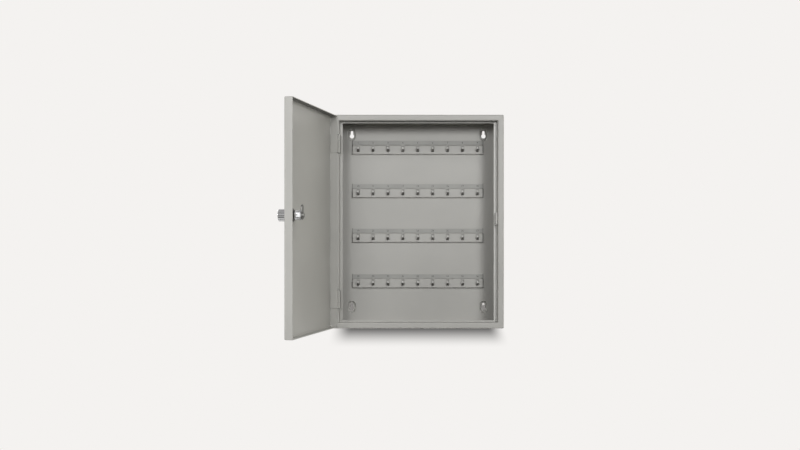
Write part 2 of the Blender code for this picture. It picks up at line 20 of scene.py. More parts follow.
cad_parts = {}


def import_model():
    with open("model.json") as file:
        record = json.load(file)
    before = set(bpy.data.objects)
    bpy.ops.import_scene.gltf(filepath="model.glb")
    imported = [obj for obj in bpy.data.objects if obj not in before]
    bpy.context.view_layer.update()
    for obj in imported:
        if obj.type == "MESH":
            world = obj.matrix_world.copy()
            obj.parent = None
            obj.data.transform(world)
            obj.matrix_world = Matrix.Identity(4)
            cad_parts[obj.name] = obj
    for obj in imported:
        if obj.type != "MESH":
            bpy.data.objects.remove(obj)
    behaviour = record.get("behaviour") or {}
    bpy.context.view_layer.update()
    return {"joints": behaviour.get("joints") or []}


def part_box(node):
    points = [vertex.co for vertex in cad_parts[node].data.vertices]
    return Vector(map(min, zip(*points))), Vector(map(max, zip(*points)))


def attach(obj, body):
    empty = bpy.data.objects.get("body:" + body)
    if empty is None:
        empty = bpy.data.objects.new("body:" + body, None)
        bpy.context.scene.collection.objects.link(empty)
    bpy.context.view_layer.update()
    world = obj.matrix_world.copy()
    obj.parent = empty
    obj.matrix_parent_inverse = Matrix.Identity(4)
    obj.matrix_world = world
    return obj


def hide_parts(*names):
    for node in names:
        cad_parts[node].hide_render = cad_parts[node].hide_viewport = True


LOG = logging.getLogger("key_cabinet")
BARS = 4
HINGES = ("upper", "lower")
SMOOTH_DEG = 33.0
FLAT_WEIGHT = 100
CLEARANCE = 0.0003
OVERRUN = 0.0020
WELD = 0.000001
TINY = 0.000001
QUARTER = math.pi / 2
FACING_DOWN = -0.9
NOISE_MIDDLE = 0.5
CLEAR = (1.0, 1.0, 1.0, 1.0)

Colour = tuple[float, float, float]
Span = tuple[float, float]
Spine = list[tuple[Vector, Vector]]
Shape = Callable[[float, float, float], float]
Ring = list[bmesh.types.BMVert]
Face = bpy.types.MeshPolygon


class Ends(Enum):
    """How the first and last ring of a skinned row of rings are closed."""

    CAPPED = "capped"
    RINGED = "ringed"
    OPEN = "open"


class Carve(Enum):
    """How a tool changes the piece that it is put to."""

    CUT = "DIFFERENCE"
    JOIN = "UNION"


class Solver(Enum):
    """How a carved mesh is found."""

    EXACT = "EXACT"
    MANIFOLD = "MANIFOLD"


class Slot(Enum):
    """The record's material slots."""

    PAINT = "grey_paint"
    STRIP = "label_strip"
    ZINC = "zinc_plate"
    CHROME = "chrome"


class Body(Enum):
    """The bodies that pieces ride on."""

    CABINET = "cabinet"
    DOOR = "door"
    KNOB = "knob"
    PLUG = "plug"


class Wire:
    """One output socket of a node, with arithmetic that adds Math nodes."""

    def __init__(self, graph: Graph, socket: bpy.types.NodeSocket | None) -> None:
        """Hold an output socket and the node tree that it belongs to."""
        self.graph = graph
        self.socket = socket

    def math(self, operation: str, first: Feed, second: Feed) -> Wire:
        """Return the result of one Math node on two values or wires."""
        return self.graph.node("ShaderNodeMath", {"operation": operation}, {0: first, 1: second})

    def __add__(self, other: Feed) -> Wire:
        """Return the sum."""
        return self.math("ADD", self, other)

    def __radd__(self, other: Feed) -> Wire:
        """Return the sum with the wire on the right."""
        return self.math("ADD", other, self)

    def __sub__(self, other: Feed) -> Wire:
        """Return the difference."""
        return self.math("SUBTRACT", self, other)

    def __rsub__(self, other: Feed) -> Wire:
        """Return the difference with the wire on the right."""
        return self.math("SUBTRACT", other, self)

    def __mul__(self, other: Feed) -> Wire:
        """Return the product."""
        return self.math("MULTIPLY", self, other)

    def at_least(self, other: Feed) -> Wire:
        """Return the larger of the wire and another value."""
        return self.math("MAXIMUM", self, other)

    def swing(self, size: float) -> Wire:
        """Return a noise's departure from its middle, scaled to a size."""
        return (self - NOISE_MIDDLE) * size

    def ramp(self, low: float, high: float) -> Wire:
        """Return 0 below low, 1 above high and a smooth rise in between."""
        sockets = {"Value": self, "From Min": low, "From Max": high}
        return self.graph.node("ShaderNodeMapRange", {"interpolation_type": "SMOOTHSTEP"}, sockets)


Feed = Wire | float | tuple[float, ...]


@dataclass(frozen=True)
class Grain:
    """A noise over a surface: features per metre, finer layers and a squeeze along each axis."""

    per_metre: float
    detail: float = 2.0
    squeeze: tuple[float, float, float] | None = None


class Graph:
    """The node tree of one material or of the world."""

    def __init__(self, tree: bpy.types.NodeTree) -> None:
        """Empty a node tree and hold it."""
        self.tree = tree
        tree.nodes.clear()

    def node(
        self,
        kind: str,
        settings: dict[str, object] | None = None,
        sockets: dict[str | int, Feed] | None = None,
        output: str | int = 0,
    ) -> Wire:
        """Add a node.

        Args:
            kind: The node's type.
            settings: The node's own settings, which are set first.
            sockets: The values or wires of its input sockets, by name or number.
            output: The output socket to return.

        Returns:
            That output socket, wrapped.
        """
        made = self.tree.nodes.new(kind)
        for name, value in (settings or {}).items():
            setattr(made, name, value)
        for key, value in (sockets or {}).items():
            socket = made.inputs[key]
            if isinstance(value, Wire):
                self.tree.links.new(value.socket, socket)
            else:
                socket.default_value = value
        if not made.outputs:
            return Wire(self, None)
        return Wire(self, made.outputs[output])

    def place(self) -> Wire:
        """Return the point on the surface in the piece's own axes."""
        return self.node("ShaderNodeTexCoord", output="Object")

    def axis(self, vector: Wire, name: str) -> Wire:
        """Return one component of a vector."""
        return self.node("ShaderNodeSeparateXYZ", {}, {0: vector}, name)

    def ray(self, kind: str) -> Wire:
        """Return 1 where the ray is of a kind, as the Light Path node names it."""
        return self.node("ShaderNodeLightPath", output=kind)

    def noise(self, grain: Grain) -> Wire:
        """Add a noise.

        Args:
            grain: Its size, layers and squeeze.

        Returns:
            The noise, around its middle.
        """
        point = self.place()
        if grain.squeeze is not None:
            point = self.node("ShaderNodeMapping", {}, {"Vector": point, "Scale": grain.squeeze})
        sockets = {"Vector": point, "Scale": grain.per_metre, "Detail": grain.detail}
        return self.node("ShaderNodeTexNoise", {}, sockets)

    def mix(self, factor: Feed, first: Feed, second: Feed) -> Wire:
        """Return a mix of two colours, of which the factor is the second one's share."""
        return self.node("ShaderNodeMix", {"data_type": "RGBA"}, {0: factor, 6: first, 7: second}, 2)

    def bump(self, height: Wire, depth: float) -> Wire:
        """Return the normal bent by a height, of which 1 stands for the depth in metres."""
        return self.node("ShaderNodeBump", {}, {"Height": height, "Distance": depth})

    def blend(self, factor: Wire, first: Wire, second: Wire) -> Wire:
        """Return a mix of two shaders, of which the factor is the second one's share."""
        return self.node("ShaderNodeMixShader", {}, {0: factor, 1: first, 2: second})

    def clear(self, tint: tuple[float, float, float, float] = CLEAR) -> Wire:
        """Return a see-through shader with a tint."""
        return self.node("ShaderNodeBsdfTransparent", {}, {"Color": tint})

    def show(self, shader: Wire) -> None:
        """End a material's tree in a shader."""
        self.node("ShaderNodeOutputMaterial", {}, {"Surface": shader})


def opaque(colour: Colour, share: float = 1.0) -> tuple[float, float, float, float]:
    """Return a colour, scaled by a share, with full alpha."""
    return (colour[0] * share, colour[1] * share, colour[2] * share, 1.0)


def new_material(name: str) -> tuple[bpy.types.Material, Graph]:
    """Make a material.

    Args:
        name: Its name.

    Returns:
        The material and its emptied node tree.
    """
    made = bpy.data.materials.new(name)
    made.use_nodes = True
    return made, Graph(made.node_tree)


@dataclass(frozen=True)
class Finish:
    """What a piece is coated with: a name, and what feeds the Principled BSDF."""

    name: str

    def sockets(self, graph: Graph) -> dict[str | int, Feed]:
        """Return the sockets' values and wires."""
        raise NotImplementedError

    def material(self) -> bpy.types.Material:
        """Make the finish.

        Returns:
            Its material.
        """
        made, graph = new_material(self.name)
        graph.show(graph.node("ShaderNodeBsdfPrincipled", {}, self.sockets(graph)))
        return made


@dataclass(frozen=True)
class PowderPaint(Finish):
    """Grey powder paint with a fine orange peel."""

    name: str = "powder_paint"
    colour: Colour = (0.422, 0.416, 0.392)
    tone_share: float = 0.045
    speck_share: float = 0.030
    speck_strength: float = 0.6
    roughness: float = 0.40
    cloud_swing: float = 0.14
    speck_swing: float = 0.10
    shine: float = 0.5
    cloud: Grain = Grain(9.0, 3.0)
    cloud_span: Span = (0.3, 0.7)
    speck: Grain = Grain(2600.0, 1.0)
    speck_span: Span = (0.62, 0.75)
    speck_depth: float = 0.000008
    peel: Grain = Grain(620.0, 1.5)
    peel_depth: float = 0.000035

    def sockets(self, graph: Graph) -> dict[str | int, Feed]:
        """Build the paint's clouds, specks and peel.

        Args:
            graph: The material's node tree.

        Returns:
            The sockets' values and wires.
        """
        cloud = graph.noise(self.cloud)
        speck = graph.noise(self.speck)
        peel = graph.noise(self.peel)
        low = opaque(self.colour, 1 - self.tone_share)
        high = opaque(self.colour, 1 + self.tone_share)
        tone = graph.mix(cloud.ramp(*self.cloud_span), low, high)
        dark = opaque(self.colour, 1 - self.tone_share - self.speck_share)
        fine = self.speck_depth / (self.peel_depth + self.speck_depth)
        return {
            "Base Color": graph.mix(speck.ramp(*self.speck_span) * self.speck_strength, tone, dark),
            "Roughness": self.roughness + cloud.swing(self.cloud_swing) + speck.swing(self.speck_swing),
            "Specular IOR Level": self.shine,
            "Normal": graph.bump(peel * (1 - fine) + speck * fine, self.peel_depth),
        }


@dataclass(frozen=True)
class CloudyCoat(Finish):
    """A coat that runs from one colour to another in clouds, with fine marks where it has them."""

    colour: Colour
    cloud_colour: Colour
    roughness: float
    cloud: Grain
    cloud_swing: float = 0.0
    cloud_span: Span = (0.35, 0.65)
    metallic: float = 0.0
    marks: Grain | None = None
    mark_swing: float = 0.0
    mark_depth: float = 0.000006

    def sockets(self, graph: Graph) -> dict[str | int, Feed]:
        """Build the coat's clouds and marks.

        Args:
            graph: The material's node tree.

        Returns:
            The sockets' values and wires.
        """
        cloud = graph.noise(self.cloud)
        factor = cloud.ramp(*self.cloud_span)
        feeds = {
            "Base Color": graph.mix(factor, opaque(self.colour), opaque(self.cloud_colour)),
            "Metallic": self.metallic,
            "Roughness": self.roughness,
        }
        if self.cloud_swing:
            feeds["Roughness"] += cloud.swing(self.cloud_swing)
        if self.marks is not None:
            marks = graph.noise(self.marks)
            feeds["Roughness"] += marks.swing(self.mark_swing)
            feeds["Normal"] = graph.bump(marks, self.mark_depth)
        return feeds


@dataclass(frozen=True)
class ZincPlate(CloudyCoat):
    """Zinc plate with cloudy patches and fine rubbing marks."""

    name: str = "zinc_plate_finish"
    colour: Colour = (0.44, 0.44, 0.43)
    cloud_colour: Colour = (0.34, 0.345, 0.34)
    roughness: float = 0.30
    cloud: Grain = Grain(260.0, 3.0)
    cloud_swing: float = 0.24
    metallic: float = 1.0
    marks: Grain | None = Grain(900.0, squeeze=(1.0, 1.0, 9.0))
    mark_swing: float = 0.12


@dataclass(frozen=True)
class Chrome(Finish):
    """Bright chrome with a few finger marks."""

    name: str = "bright_chrome"
    colour: Colour = (0.80, 0.81, 0.82)
    smear_tone: float = 0.88
    smear_strength: float = 0.5
    roughness: float = 0.07
    smear_share: float = 0.16
    smear: Grain = Grain(240.0, 3.0)
    rough_span: Span = (0.48, 0.72)
    tone_span: Span = (0.5, 0.8)
    wave: Grain = Grain(420.0, 1.0)
    wave_depth: float = 0.000010

    def sockets(self, graph: Graph) -> dict[str | int, Feed]:
        """Build the chrome's smears and waves.

        Args:
            graph: The material's node tree.

        Returns:
            The sockets' values and wires.
        """
        smear = graph.noise(self.smear)
        factor = smear.ramp(*self.tone_span) * self.smear_strength
        return {
            "Base Color": graph.mix(factor, opaque(self.colour), opaque(self.colour, self.smear_tone)),
            "Metallic": 1.0,
            "Roughness": self.roughness + smear.ramp(*self.rough_span) * self.smear_share,
            "Normal": graph.bump(graph.noise(self.wave), self.wave_depth),
        }


@dataclass(frozen=True)
class StripFilm(CloudyCoat):
    """Matt grey-green plastic of the number strips."""

    name: str = "strip_film"
    colour: Colour = (0.30875, 0.3078, 0.2907)
    cloud_colour: Colour = (0.34125, 0.3402, 0.3213)
    roughness: float = 0.46
    cloud: Grain = Grain(40.0)
    marks: Grain | None = Grain(1800.0)
    mark_swing: float = 0.2


@dataclass
class Finishes:
    """The materials that the pieces share, each made once."""

    paint: bpy.types.Material = field(default_factory=PowderPaint().material)
    hinge_paint: bpy.types.Material = field(default_factory=PowderPaint(
        "hinge_paint", (0.435, 0.429, 0.404), roughness=0.62, shine=0.2,
    ).material)
    # Painted shade: dark paint put on the recess's top wall, the flange and hook undersides, the bar ends and
    # the knuckle gaps, where shade falls.
    painted_shade: bpy.types.Material = field(default_factory=PowderPaint(
        "painted_shade", (0.195, 0.193, 0.182), roughness=0.62, shine=0.2,
    ).material)
    # Lighter paint: on the hook tips it is partly key wear and partly painted highlight, and on the right lip
    # it is a painted highlight only.
    rubbed_highlight: bpy.types.Material = field(default_factory=CloudyCoat(
        "rubbed_highlight_paint", (0.66, 0.655, 0.63), (0.50, 0.497, 0.475), 0.28, Grain(1500.0), 0.15, (0.45, 0.75),
    ).material)
    zinc: bpy.types.Material = field(default_factory=ZincPlate().material)
    # Dark zinc of the washer and the nut, partly their own colour and partly painted shade. On the barrel it
    # is painted shade only, near the door and underneath.
    dark_zinc_and_shade: bpy.types.Material = field(default_factory=ZincPlate(
        "dark_zinc_and_shade", (0.17, 0.17, 0.165), (0.11, 0.11, 0.11), roughness=0.36,
    ).material)
    dull_zinc: bpy.types.Material = field(default_factory=ZincPlate(
        "dull_zinc", (0.27, 0.27, 0.26), (0.20, 0.20, 0.195), roughness=0.52,
    ).material)
    chrome: bpy.types.Material = field(default_factory=Chrome().material)
    satin: bpy.types.Material = field(default_factory=Chrome("satin_chrome", roughness=0.36).material)
    film: bpy.types.Material = field(default_factory=StripFilm().material)
    ink: bpy.types.Material = field(default_factory=CloudyCoat(
        "print_ink", (0.030, 0.031, 0.030), (0.075, 0.078, 0.074), 0.55, Grain(2400.0), 0.2, (0.45, 0.75),
    ).material)


class Draft:
    """A mesh under construction: rings of points, skins between them and filled faces."""

    def __init__(self) -> None:
        """Start an empty mesh."""
        self.mesh = bmesh.new()

    def ring(self, points: Iterable[Sequence[float]]) -> Ring:
        """Add one ring of points and return its vertices."""
        return [self.mesh.verts.new(point) for point in points]

    def skin(self, near: Ring, far: Ring) -> None:
        """Join two rings with a band of quads.

        Args:
            near: One ring.
            far: Another one of the same count.
        """
        for i in range(len(near)):
            j = (i + 1) % len(near)
            self.mesh.faces.new((near[i], near[j], far[j], far[i]))

    def loft(self, loops: Sequence[Iterable[Sequence[float]]], ends: Ends) -> tuple[Ring, Ring]:
        """Skin a row of loops.

        Args:
            loops: The loops in order, each with as many points.
            ends: How the first and last loop are closed.

        Returns:
            The first and the last ring.
        """
        rings = [self.ring(loop) for loop in loops]
        for near, far in zip(rings, rings[1:]):
            self.skin(near, far)
        if ends is Ends.RINGED:
            self.skin(rings[-1], rings[0])
        elif ends is Ends.CAPPED:
            self.mesh.faces.new(rings[0][::-1])
            self.mesh.faces.new(rings[-1])
        return rings[0], rings[-1]

    def fill(self, rings: Sequence[Ring]) -> None:
        """Fill a flat face.

        Args:
            rings: The outer ring and the rings of its holes.
        """
        edges = []
        for ring in rings:
            for pair in zip(ring, ring[1:] + ring[:1]):
                edges.append(self.mesh.edges.get(pair) or self.mesh.edges.new(pair))
        bmesh.ops.triangle_fill(self.mesh, use_beauty=True, use_dissolve=False, edges=edges)

    def block(self, low: Sequence[float], high: Sequence[float]) -> None:
        """Add a plain block, as a cutter.

        Args:
            low: Its lowest corner.
            high: Its highest corner.
        """
        sides = ((low[0], low[1]), (high[0], low[1]), (high[0], high[1]), (low[0], high[1]))
        self.loft([[(x, y, z) for x, y in sides] for z in (low[2], high[2])], Ends.CAPPED)

    def turn(
        self, profile: Sequence[Span], steps: int, ends: Ends, shape: Shape | None = None,
    ) -> None:
        """Turn a profile about the y axis.

        Args:
            profile: Pairs of radius and place along y.
            steps: Points round each ring.
            ends: How the first and last ring are closed.
            shape: What gives the true radius for an angle, radius and place, if it varies.
        """
        loops = []
        for radius, y in profile:
            loop = []
            for i in range(steps):
                angle = math.tau * i / steps
                reach = radius if shape is None else shape(angle, radius, y)
                loop.append((reach * math.cos(angle), y, reach * math.sin(angle)))
            loops.append(loop)
        self.loft(loops, ends)

    def sheet(
        self, fold: Fold, ends: Span, upright: Spine | None = None, between: Sequence[float] = (),
    ) -> None:
        """Run a folded sheet's section from end to end, with rounded edges.

        Args:
            fold: The section.
            ends: Where the sheet starts and ends.
            upright: The centreline of a section that runs along z, not along x.
            between: Places of further loops.
        """
        low, high = ends
        stations = [(low, fold.edge), (low + fold.edge, 0.0)]
        stations += [(place, 0.0) for place in between]
        stations += [(high - fold.edge, 0.0), (high, fold.edge)]
        loops = []
        for place, slim in stations:
            outline = fold.outline(upright, slim)
            if upright is None:
                loops.append([(place, point.x, point.y) for point in outline])
            else:
                loops.append([(point.x, point.y, place) for point in outline])
        self.loft(loops, Ends.CAPPED)

    def done(self, name: str, place: Matrix | None = None) -> bpy.types.Object:
        """Close the draft.

        Args:
            name: The object's name.
            place: The matrix that takes the points to the frame's axes, if they need one.

        Returns:
            The object, with its faces pointing out.
        """
        bmesh.ops.remove_doubles(self.mesh, verts=self.mesh.verts, dist=WELD)
        bmesh.ops.recalc_face_normals(self.mesh, faces=self.mesh.faces)
        data = bpy.data.meshes.new(name)
        self.mesh.to_mesh(data)
        self.mesh.free()
        if place is not None:
            data.transform(place)
        return new_object(name, data)


def new_object(name: str, data: bpy.types.ID) -> bpy.types.Object:
    """Make an object of some data and put it in the scene.

    Args:
        name: Its name.
        data: Its mesh, text, light or camera.

    Returns:
        The object.
    """
    item = bpy.data.objects.new(name, data)
    bpy.context.scene.collection.objects.link(item)
    return item


def final_mesh(item: bpy.types.Object) -> bpy.types.Mesh:
    """Return a new mesh of an object with its modifiers or of its text."""
    graph = bpy.context.evaluated_depsgraph_get()
    return bpy.data.meshes.new_from_object(item.evaluated_get(graph))


def flat_face(name: str, points: Iterable[Sequence[float]], material: bpy.types.Material) -> bpy.types.Object:
    """Make a stage piece of one flat face.

    Args:
        name: Its name.
        points: Its outline.
        material: Its material.

    Returns:
        The object.
    """
    draft = Draft()
    draft.mesh.faces.new(draft.ring(points))
    made = draft.done(name)
    made.data.materials.append(material)
    return made


def carve(
    target: bpy.types.Object, tool: bpy.types.Object, way: Carve = Carve.CUT, solver: Solver = Solver.EXACT,
) -> None:
    """Cut a tool from a piece, or join it on.

    Args:
        target: The piece.
        tool: The tool, which is removed.
        way: What the tool does.
        solver: How the new mesh is found.

    Raises:
        ValueError: Nothing of the piece is left.
    """
    modifier = target.modifiers.new("carve", "BOOLEAN")
    modifier.object = tool
    modifier.operation = way.value
    modifier.solver = solver.value
    data = final_mesh(target)
    if not data.polygons:
        raise ValueError(f"nothing is left of {target.name}")
    target.modifiers.clear()
    target.data = data
    bpy.data.objects.remove(tool)


def settle(item: bpy.types.Object, finish: bpy.types.Material, body: Body, slot: Slot, *nodes: str) -> None:
    """Shade a finished piece, dress it and tie it to its body.

    Args:
        item: The piece.
        finish: Its material.
        body: The body that it rides on.
        slot: The record's slot that its finish is; not used.
        nodes: The nodes that it stands for.
    """
    data = item.data
    data.materials.clear()
    data.materials.append(finish)
    data.shade_smooth()
    data.set_sharp_from_angle(angle=math.radians(SMOOTH_DEG))
    weighting = item.modifiers.new("flat_faces_stay_flat", "WEIGHTED_NORMAL")
    weighting.keep_sharp = True
    weighting.weight = FLAT_WEIGHT
    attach(item, body.value)
    if nodes:
        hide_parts(*nodes)
    LOG.info("%s: %d faces, rides on %s", item.name, len(data.polygons), body.value)


def repaint(item: bpy.types.Object, finish: bpy.types.Material, picks: Callable[[Face], bool]) -> None:
    """Give some faces of a settled piece a further finish.

    Args:
        item: The piece.
        finish: The finish.
        picks: What tells whether a face gets it.
    """
    data = item.data
    data.materials.append(finish)
    for face in data.polygons:
        if picks(face):
            face.material_index = len(data.materials) - 1


def arc(centre: Span, radius: float, start: float, sweep: float, steps: int) -> list[Span]:
    """Return the points of an arc.

    Args:
        centre: Its centre.
        radius: Its radius.
        start: The angle that it starts at, in radians.
        sweep: The angle that it goes through.
        steps: The number of its parts.

    Returns:
        The points, with both ends.
    """
    turns = [start + sweep * i / steps for i in range(steps + 1)]
    return [(centre[0] + radius * math.cos(turn), centre[1] + radius * math.sin(turn)) for turn in turns]


def arc_spine(centre: Vector, radius: float, start: float, sweep: float, steps: int) -> Spine:
    """Return points along an arc with the normals on their left.

    Args:
        centre: The arc's centre.
        radius: Its radius.
        start: The angle that it starts at, in radians.
        sweep: The angle that it goes through, negative for a clockwise one.
        steps: The number of its parts.

    Returns:
        Pairs of point and left normal.
    """
    spine = []
    for i in range(steps + 1):
        angle = start + sweep * i / steps
        spoke = Vector((math.cos(angle), math.sin(angle)))
        spine.append((centre + spoke * radius, -spoke * math.copysign(1, sweep)))
    return spine


def rounded_box(low: Span, high: Span, radius: float, steps: int) -> list[Span]:
    """Return the outline of a rectangle with round corners.

    Args:
        low: Its lowest corner.
        high: Its highest corner.
        radius: The corners' radius.
        steps: The number of each corner's parts.

    Returns:
        The points, from the high corner on.
    """
    right, left = high[0] - radius, low[0] + radius
    top, bottom = high[1] - radius, low[1] + radius
    points = []
    for quarter, centre in enumerate(((right, top), (left, top), (left, bottom), (right, bottom))):
        points += arc(centre, radius, QUARTER * quarter, QUARTER, steps)
    return points


@dataclass(frozen=True)
class Fold:
    """A sheet folded along a centreline with round bends, seen in section."""

    corners: tuple[Span, ...]
    thickness: float = 0.0010
    radius: float = 0.0008
    steps: int = 6
    edge: float = 0.00018
    edge_share: float = 0.9
    edge_steps: int = 2

    def spine(self) -> Spine:
        """Round the bends of the centreline.

        Returns:
            Its points with the normals on their left.
        """
        centres = [Vector(corner) for corner in self.corners]
        first = (centres[1] - centres[0]).normalized()
        spine = [(centres[0], Vector((-first.y, first.x)))]
        bend = self.radius + self.thickness / 2
        for before, corner, after in zip(centres, centres[1:], centres[2:]):
            inward = (corner - before).normalized()
            outward = (after - corner).normalized()
            turn = math.atan2(inward.x * outward.y - inward.y * outward.x, inward.dot(outward))
            start = corner - inward * bend * math.tan(abs(turn) / 2)
            side = Vector((-inward.y, inward.x)) * math.copysign(1, turn)
            spine += arc_spine(start + side * bend, bend, math.atan2(-side.y, -side.x), turn, self.steps)
        last = (centres[-1] - centres[-2]).normalized()
        spine.append((centres[-1], Vector((-last.y, last.x))))
        return spine

    def _end(self, point: Vector, normal: Vector, ahead: Vector, slim: float) -> list[Vector]:
        """Round an end of the sheet.

        Args:
            point: The centreline's end.
            normal: The normal of the side that the outline comes from.
            ahead: The direction out of the sheet.
            slim: What is taken off each side.

        Returns:
            The points round the end.
        """
        half = self.thickness / 2 - slim
        edge = min(self.edge, half * self.edge_share)
        points = []
        for side, start, end in ((normal, normal, ahead), (-normal, ahead, -normal)):
            centre = point - ahead * (edge + slim) + side * (half - edge)
            for i in range(self.edge_steps + 1):
                turn = QUARTER * i / self.edge_steps
                points.append(centre + edge * (start * math.cos(turn) + end * math.sin(turn)))
        return points

    def open_path(self) -> list[Vector]:
        """Follow the skin from the far end of the left side, round the start.

        Returns:
            The points, up to the far end of the right side.
        """
        path = self.spine()
        half = self.thickness / 2
        left = [point + normal * half for point, normal in path[1:]]
        right = [point - normal * half for point, normal in path[1:]]
        point, normal = path[0]
        return left[::-1] + self._end(point, normal, Vector((-normal.y, normal.x)), 0.0) + right

    def outline(self, spine: Spine | None = None, slim: float = 0.0) -> list[Vector]:
        """Follow the whole skin.

        Args:
            spine: The centreline, if it isn't the one of the corners.
            slim: What is taken off each side, for the rounded edge of a cut.

        Returns:
            The closed outline's points.
        """
        path = spine or self.spine()
        half = self.thickness / 2 - slim
        left = [point + normal * half for point, normal in path[1:-1]]
        right = [point - normal * half for point, normal in path[1:-1]]
        point, normal = path[0]
        start = self._end(point, normal, Vector((-normal.y, normal.x)), slim)
        point, normal = path[-1]
        end = self._end(point, -normal, Vector((normal.y, -normal.x)), slim)
        return left[::-1] + start + right + end


@dataclass(frozen=True)
class Rim:
    """The rectangle, with rounded corners, that a tray's section runs round."""

    low: Vector
    high: Vector
    corner: float
    least_corner: float = 0.0003
    corner_steps: int = 6

    def loop(self, inset_x: float, inset_z: float, y: float, crease: float = 0.0) -> list[Vector]:
        """Return one loop of the rectangle.

        Args:
            inset_x: How far the loop lies inside the rectangle's sides.
            inset_z: How far it lies inside the ends.
            y: Its place along y.
            crease: How deep the mitre seam is pressed in at the corners.

        Returns:
            The loop's points.
        """
        radius = max(self.least_corner, self.corner - max(0.0, min(inset_x, inset_z)))
        low = (self.low.x + inset_x, self.low.z + inset_z)
        high = (self.high.x - inset_x, self.high.z - inset_z)
        points = []
        for i, (x, z) in enumerate(rounded_box(low, high, radius, self.corner_steps)):
            on_seam = i % (self.corner_steps + 1) * 2 == self.corner_steps
            points.append(Vector((x, y + crease if on_seam else y, z)))
        return points


@dataclass
class Shell:
    """The body: four walls, the front band, its recess and the inner lip in one sheet."""

    finishes: Finishes
    sheet: float = 0.0010
    corner: float = 0.0014
    band_side: float = 0.0088
    band_end: float = 0.0085
    lip_side: float = 0.0045
    lip_end: float = 0.0024
    recess: float = 0.0120
    seam: float = 0.00022
    notch_end: float = 0.0012
    notch_clear: float = 0.0006

    def build(self) -> None:
        """Build the shell, cut its notches and paint it."""
        low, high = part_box("body_shell")
        rim = Rim(low, high, self.corner)
        half = self.sheet / 2
        front = low.y
        lip_front = front + self.recess
        lip_x = high.x - self.band_side + half

        def section(band: float, lip: float) -> list[Vector]:
            """Return the sheet's outline.

            Args:
                band: The front band's width.
                lip: The inner lip's width.

            Returns:
                The outline's points.
            """
            corners = (
                (half, high.y),
                (half, front + half),
                (band - half, front + half),
                (band - half, lip_front + half),
                (band + lip, lip_front + half),
            )
            return Fold(corners, self.sheet).outline()

        def on_right_lip_highlight(face: Face) -> bool:
            """Tell whether a face is on the front of the lip's right side, which gets a painted highlight."""
            across = lip_x - self.lip_side - self.sheet < face.center.x < lip_x
            return across and abs(face.center.y - lip_front) < CLEARANCE

        def under_band(face: Face) -> bool:
            """Tell whether a face is on the recess's top wall, which gets painted shade."""
            inside = face.center.z > 0 and face.center.y < lip_front
            return inside and face.normal.z < FACING_DOWN and not on_right_lip_highlight(face)

        loops = []
        for side, end in zip(section(self.band_side, self.lip_side), section(self.band_end, self.lip_end)):
            on_band = side.y < front + half and side.x > self.sheet
            on_lip = side.y < lip_front + half and side.x > self.band_side
            loops.append(rim.loop(side.x, end.x, side.y, self.seam if on_band or on_lip else 0.0))
        draft = Draft()
        draft.loft(loops, Ends.RINGED)
        shell = draft.done("shell_sheet")
        cutter = Draft()
        for side in HINGES:
            self._hinge_notch(cutter, side, low)
        carve(shell, cutter.done("notches"))
        settle(shell, self.finishes.paint, Body.CABINET, Slot.PAINT, "body_shell")
        # Painted highlight on the right lip's front.
        repaint(shell, self.finishes.rubbed_highlight, on_right_lip_highlight)
        # Painted shade on the recess's top wall.
        repaint(shell, self.finishes.painted_shade, under_band)

    def _hinge_notch(self, cutter: Draft, side: str, low: Vector) -> None:
        """Add the cutter of the notch that one hinge's knuckles stand in.

        Args:
            cutter: The draft of all the notches.
            side: Which hinge it is.
            low: The body's lowest corner.
        """
        leaf_low, leaf_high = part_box(f"{side}_hinge_body_leaf")
        start = (leaf_low.x - self.notch_clear, low.y - OVERRUN, leaf_low.z - self.notch_end)
        wall = low.x + self.band_side + CLEARANCE
        knuckle_end = leaf_low.y + leaf_high.x - leaf_low.x + self.notch_clear
        cutter.block(start, (wall, knuckle_end, leaf_high.z + self.notch_end))


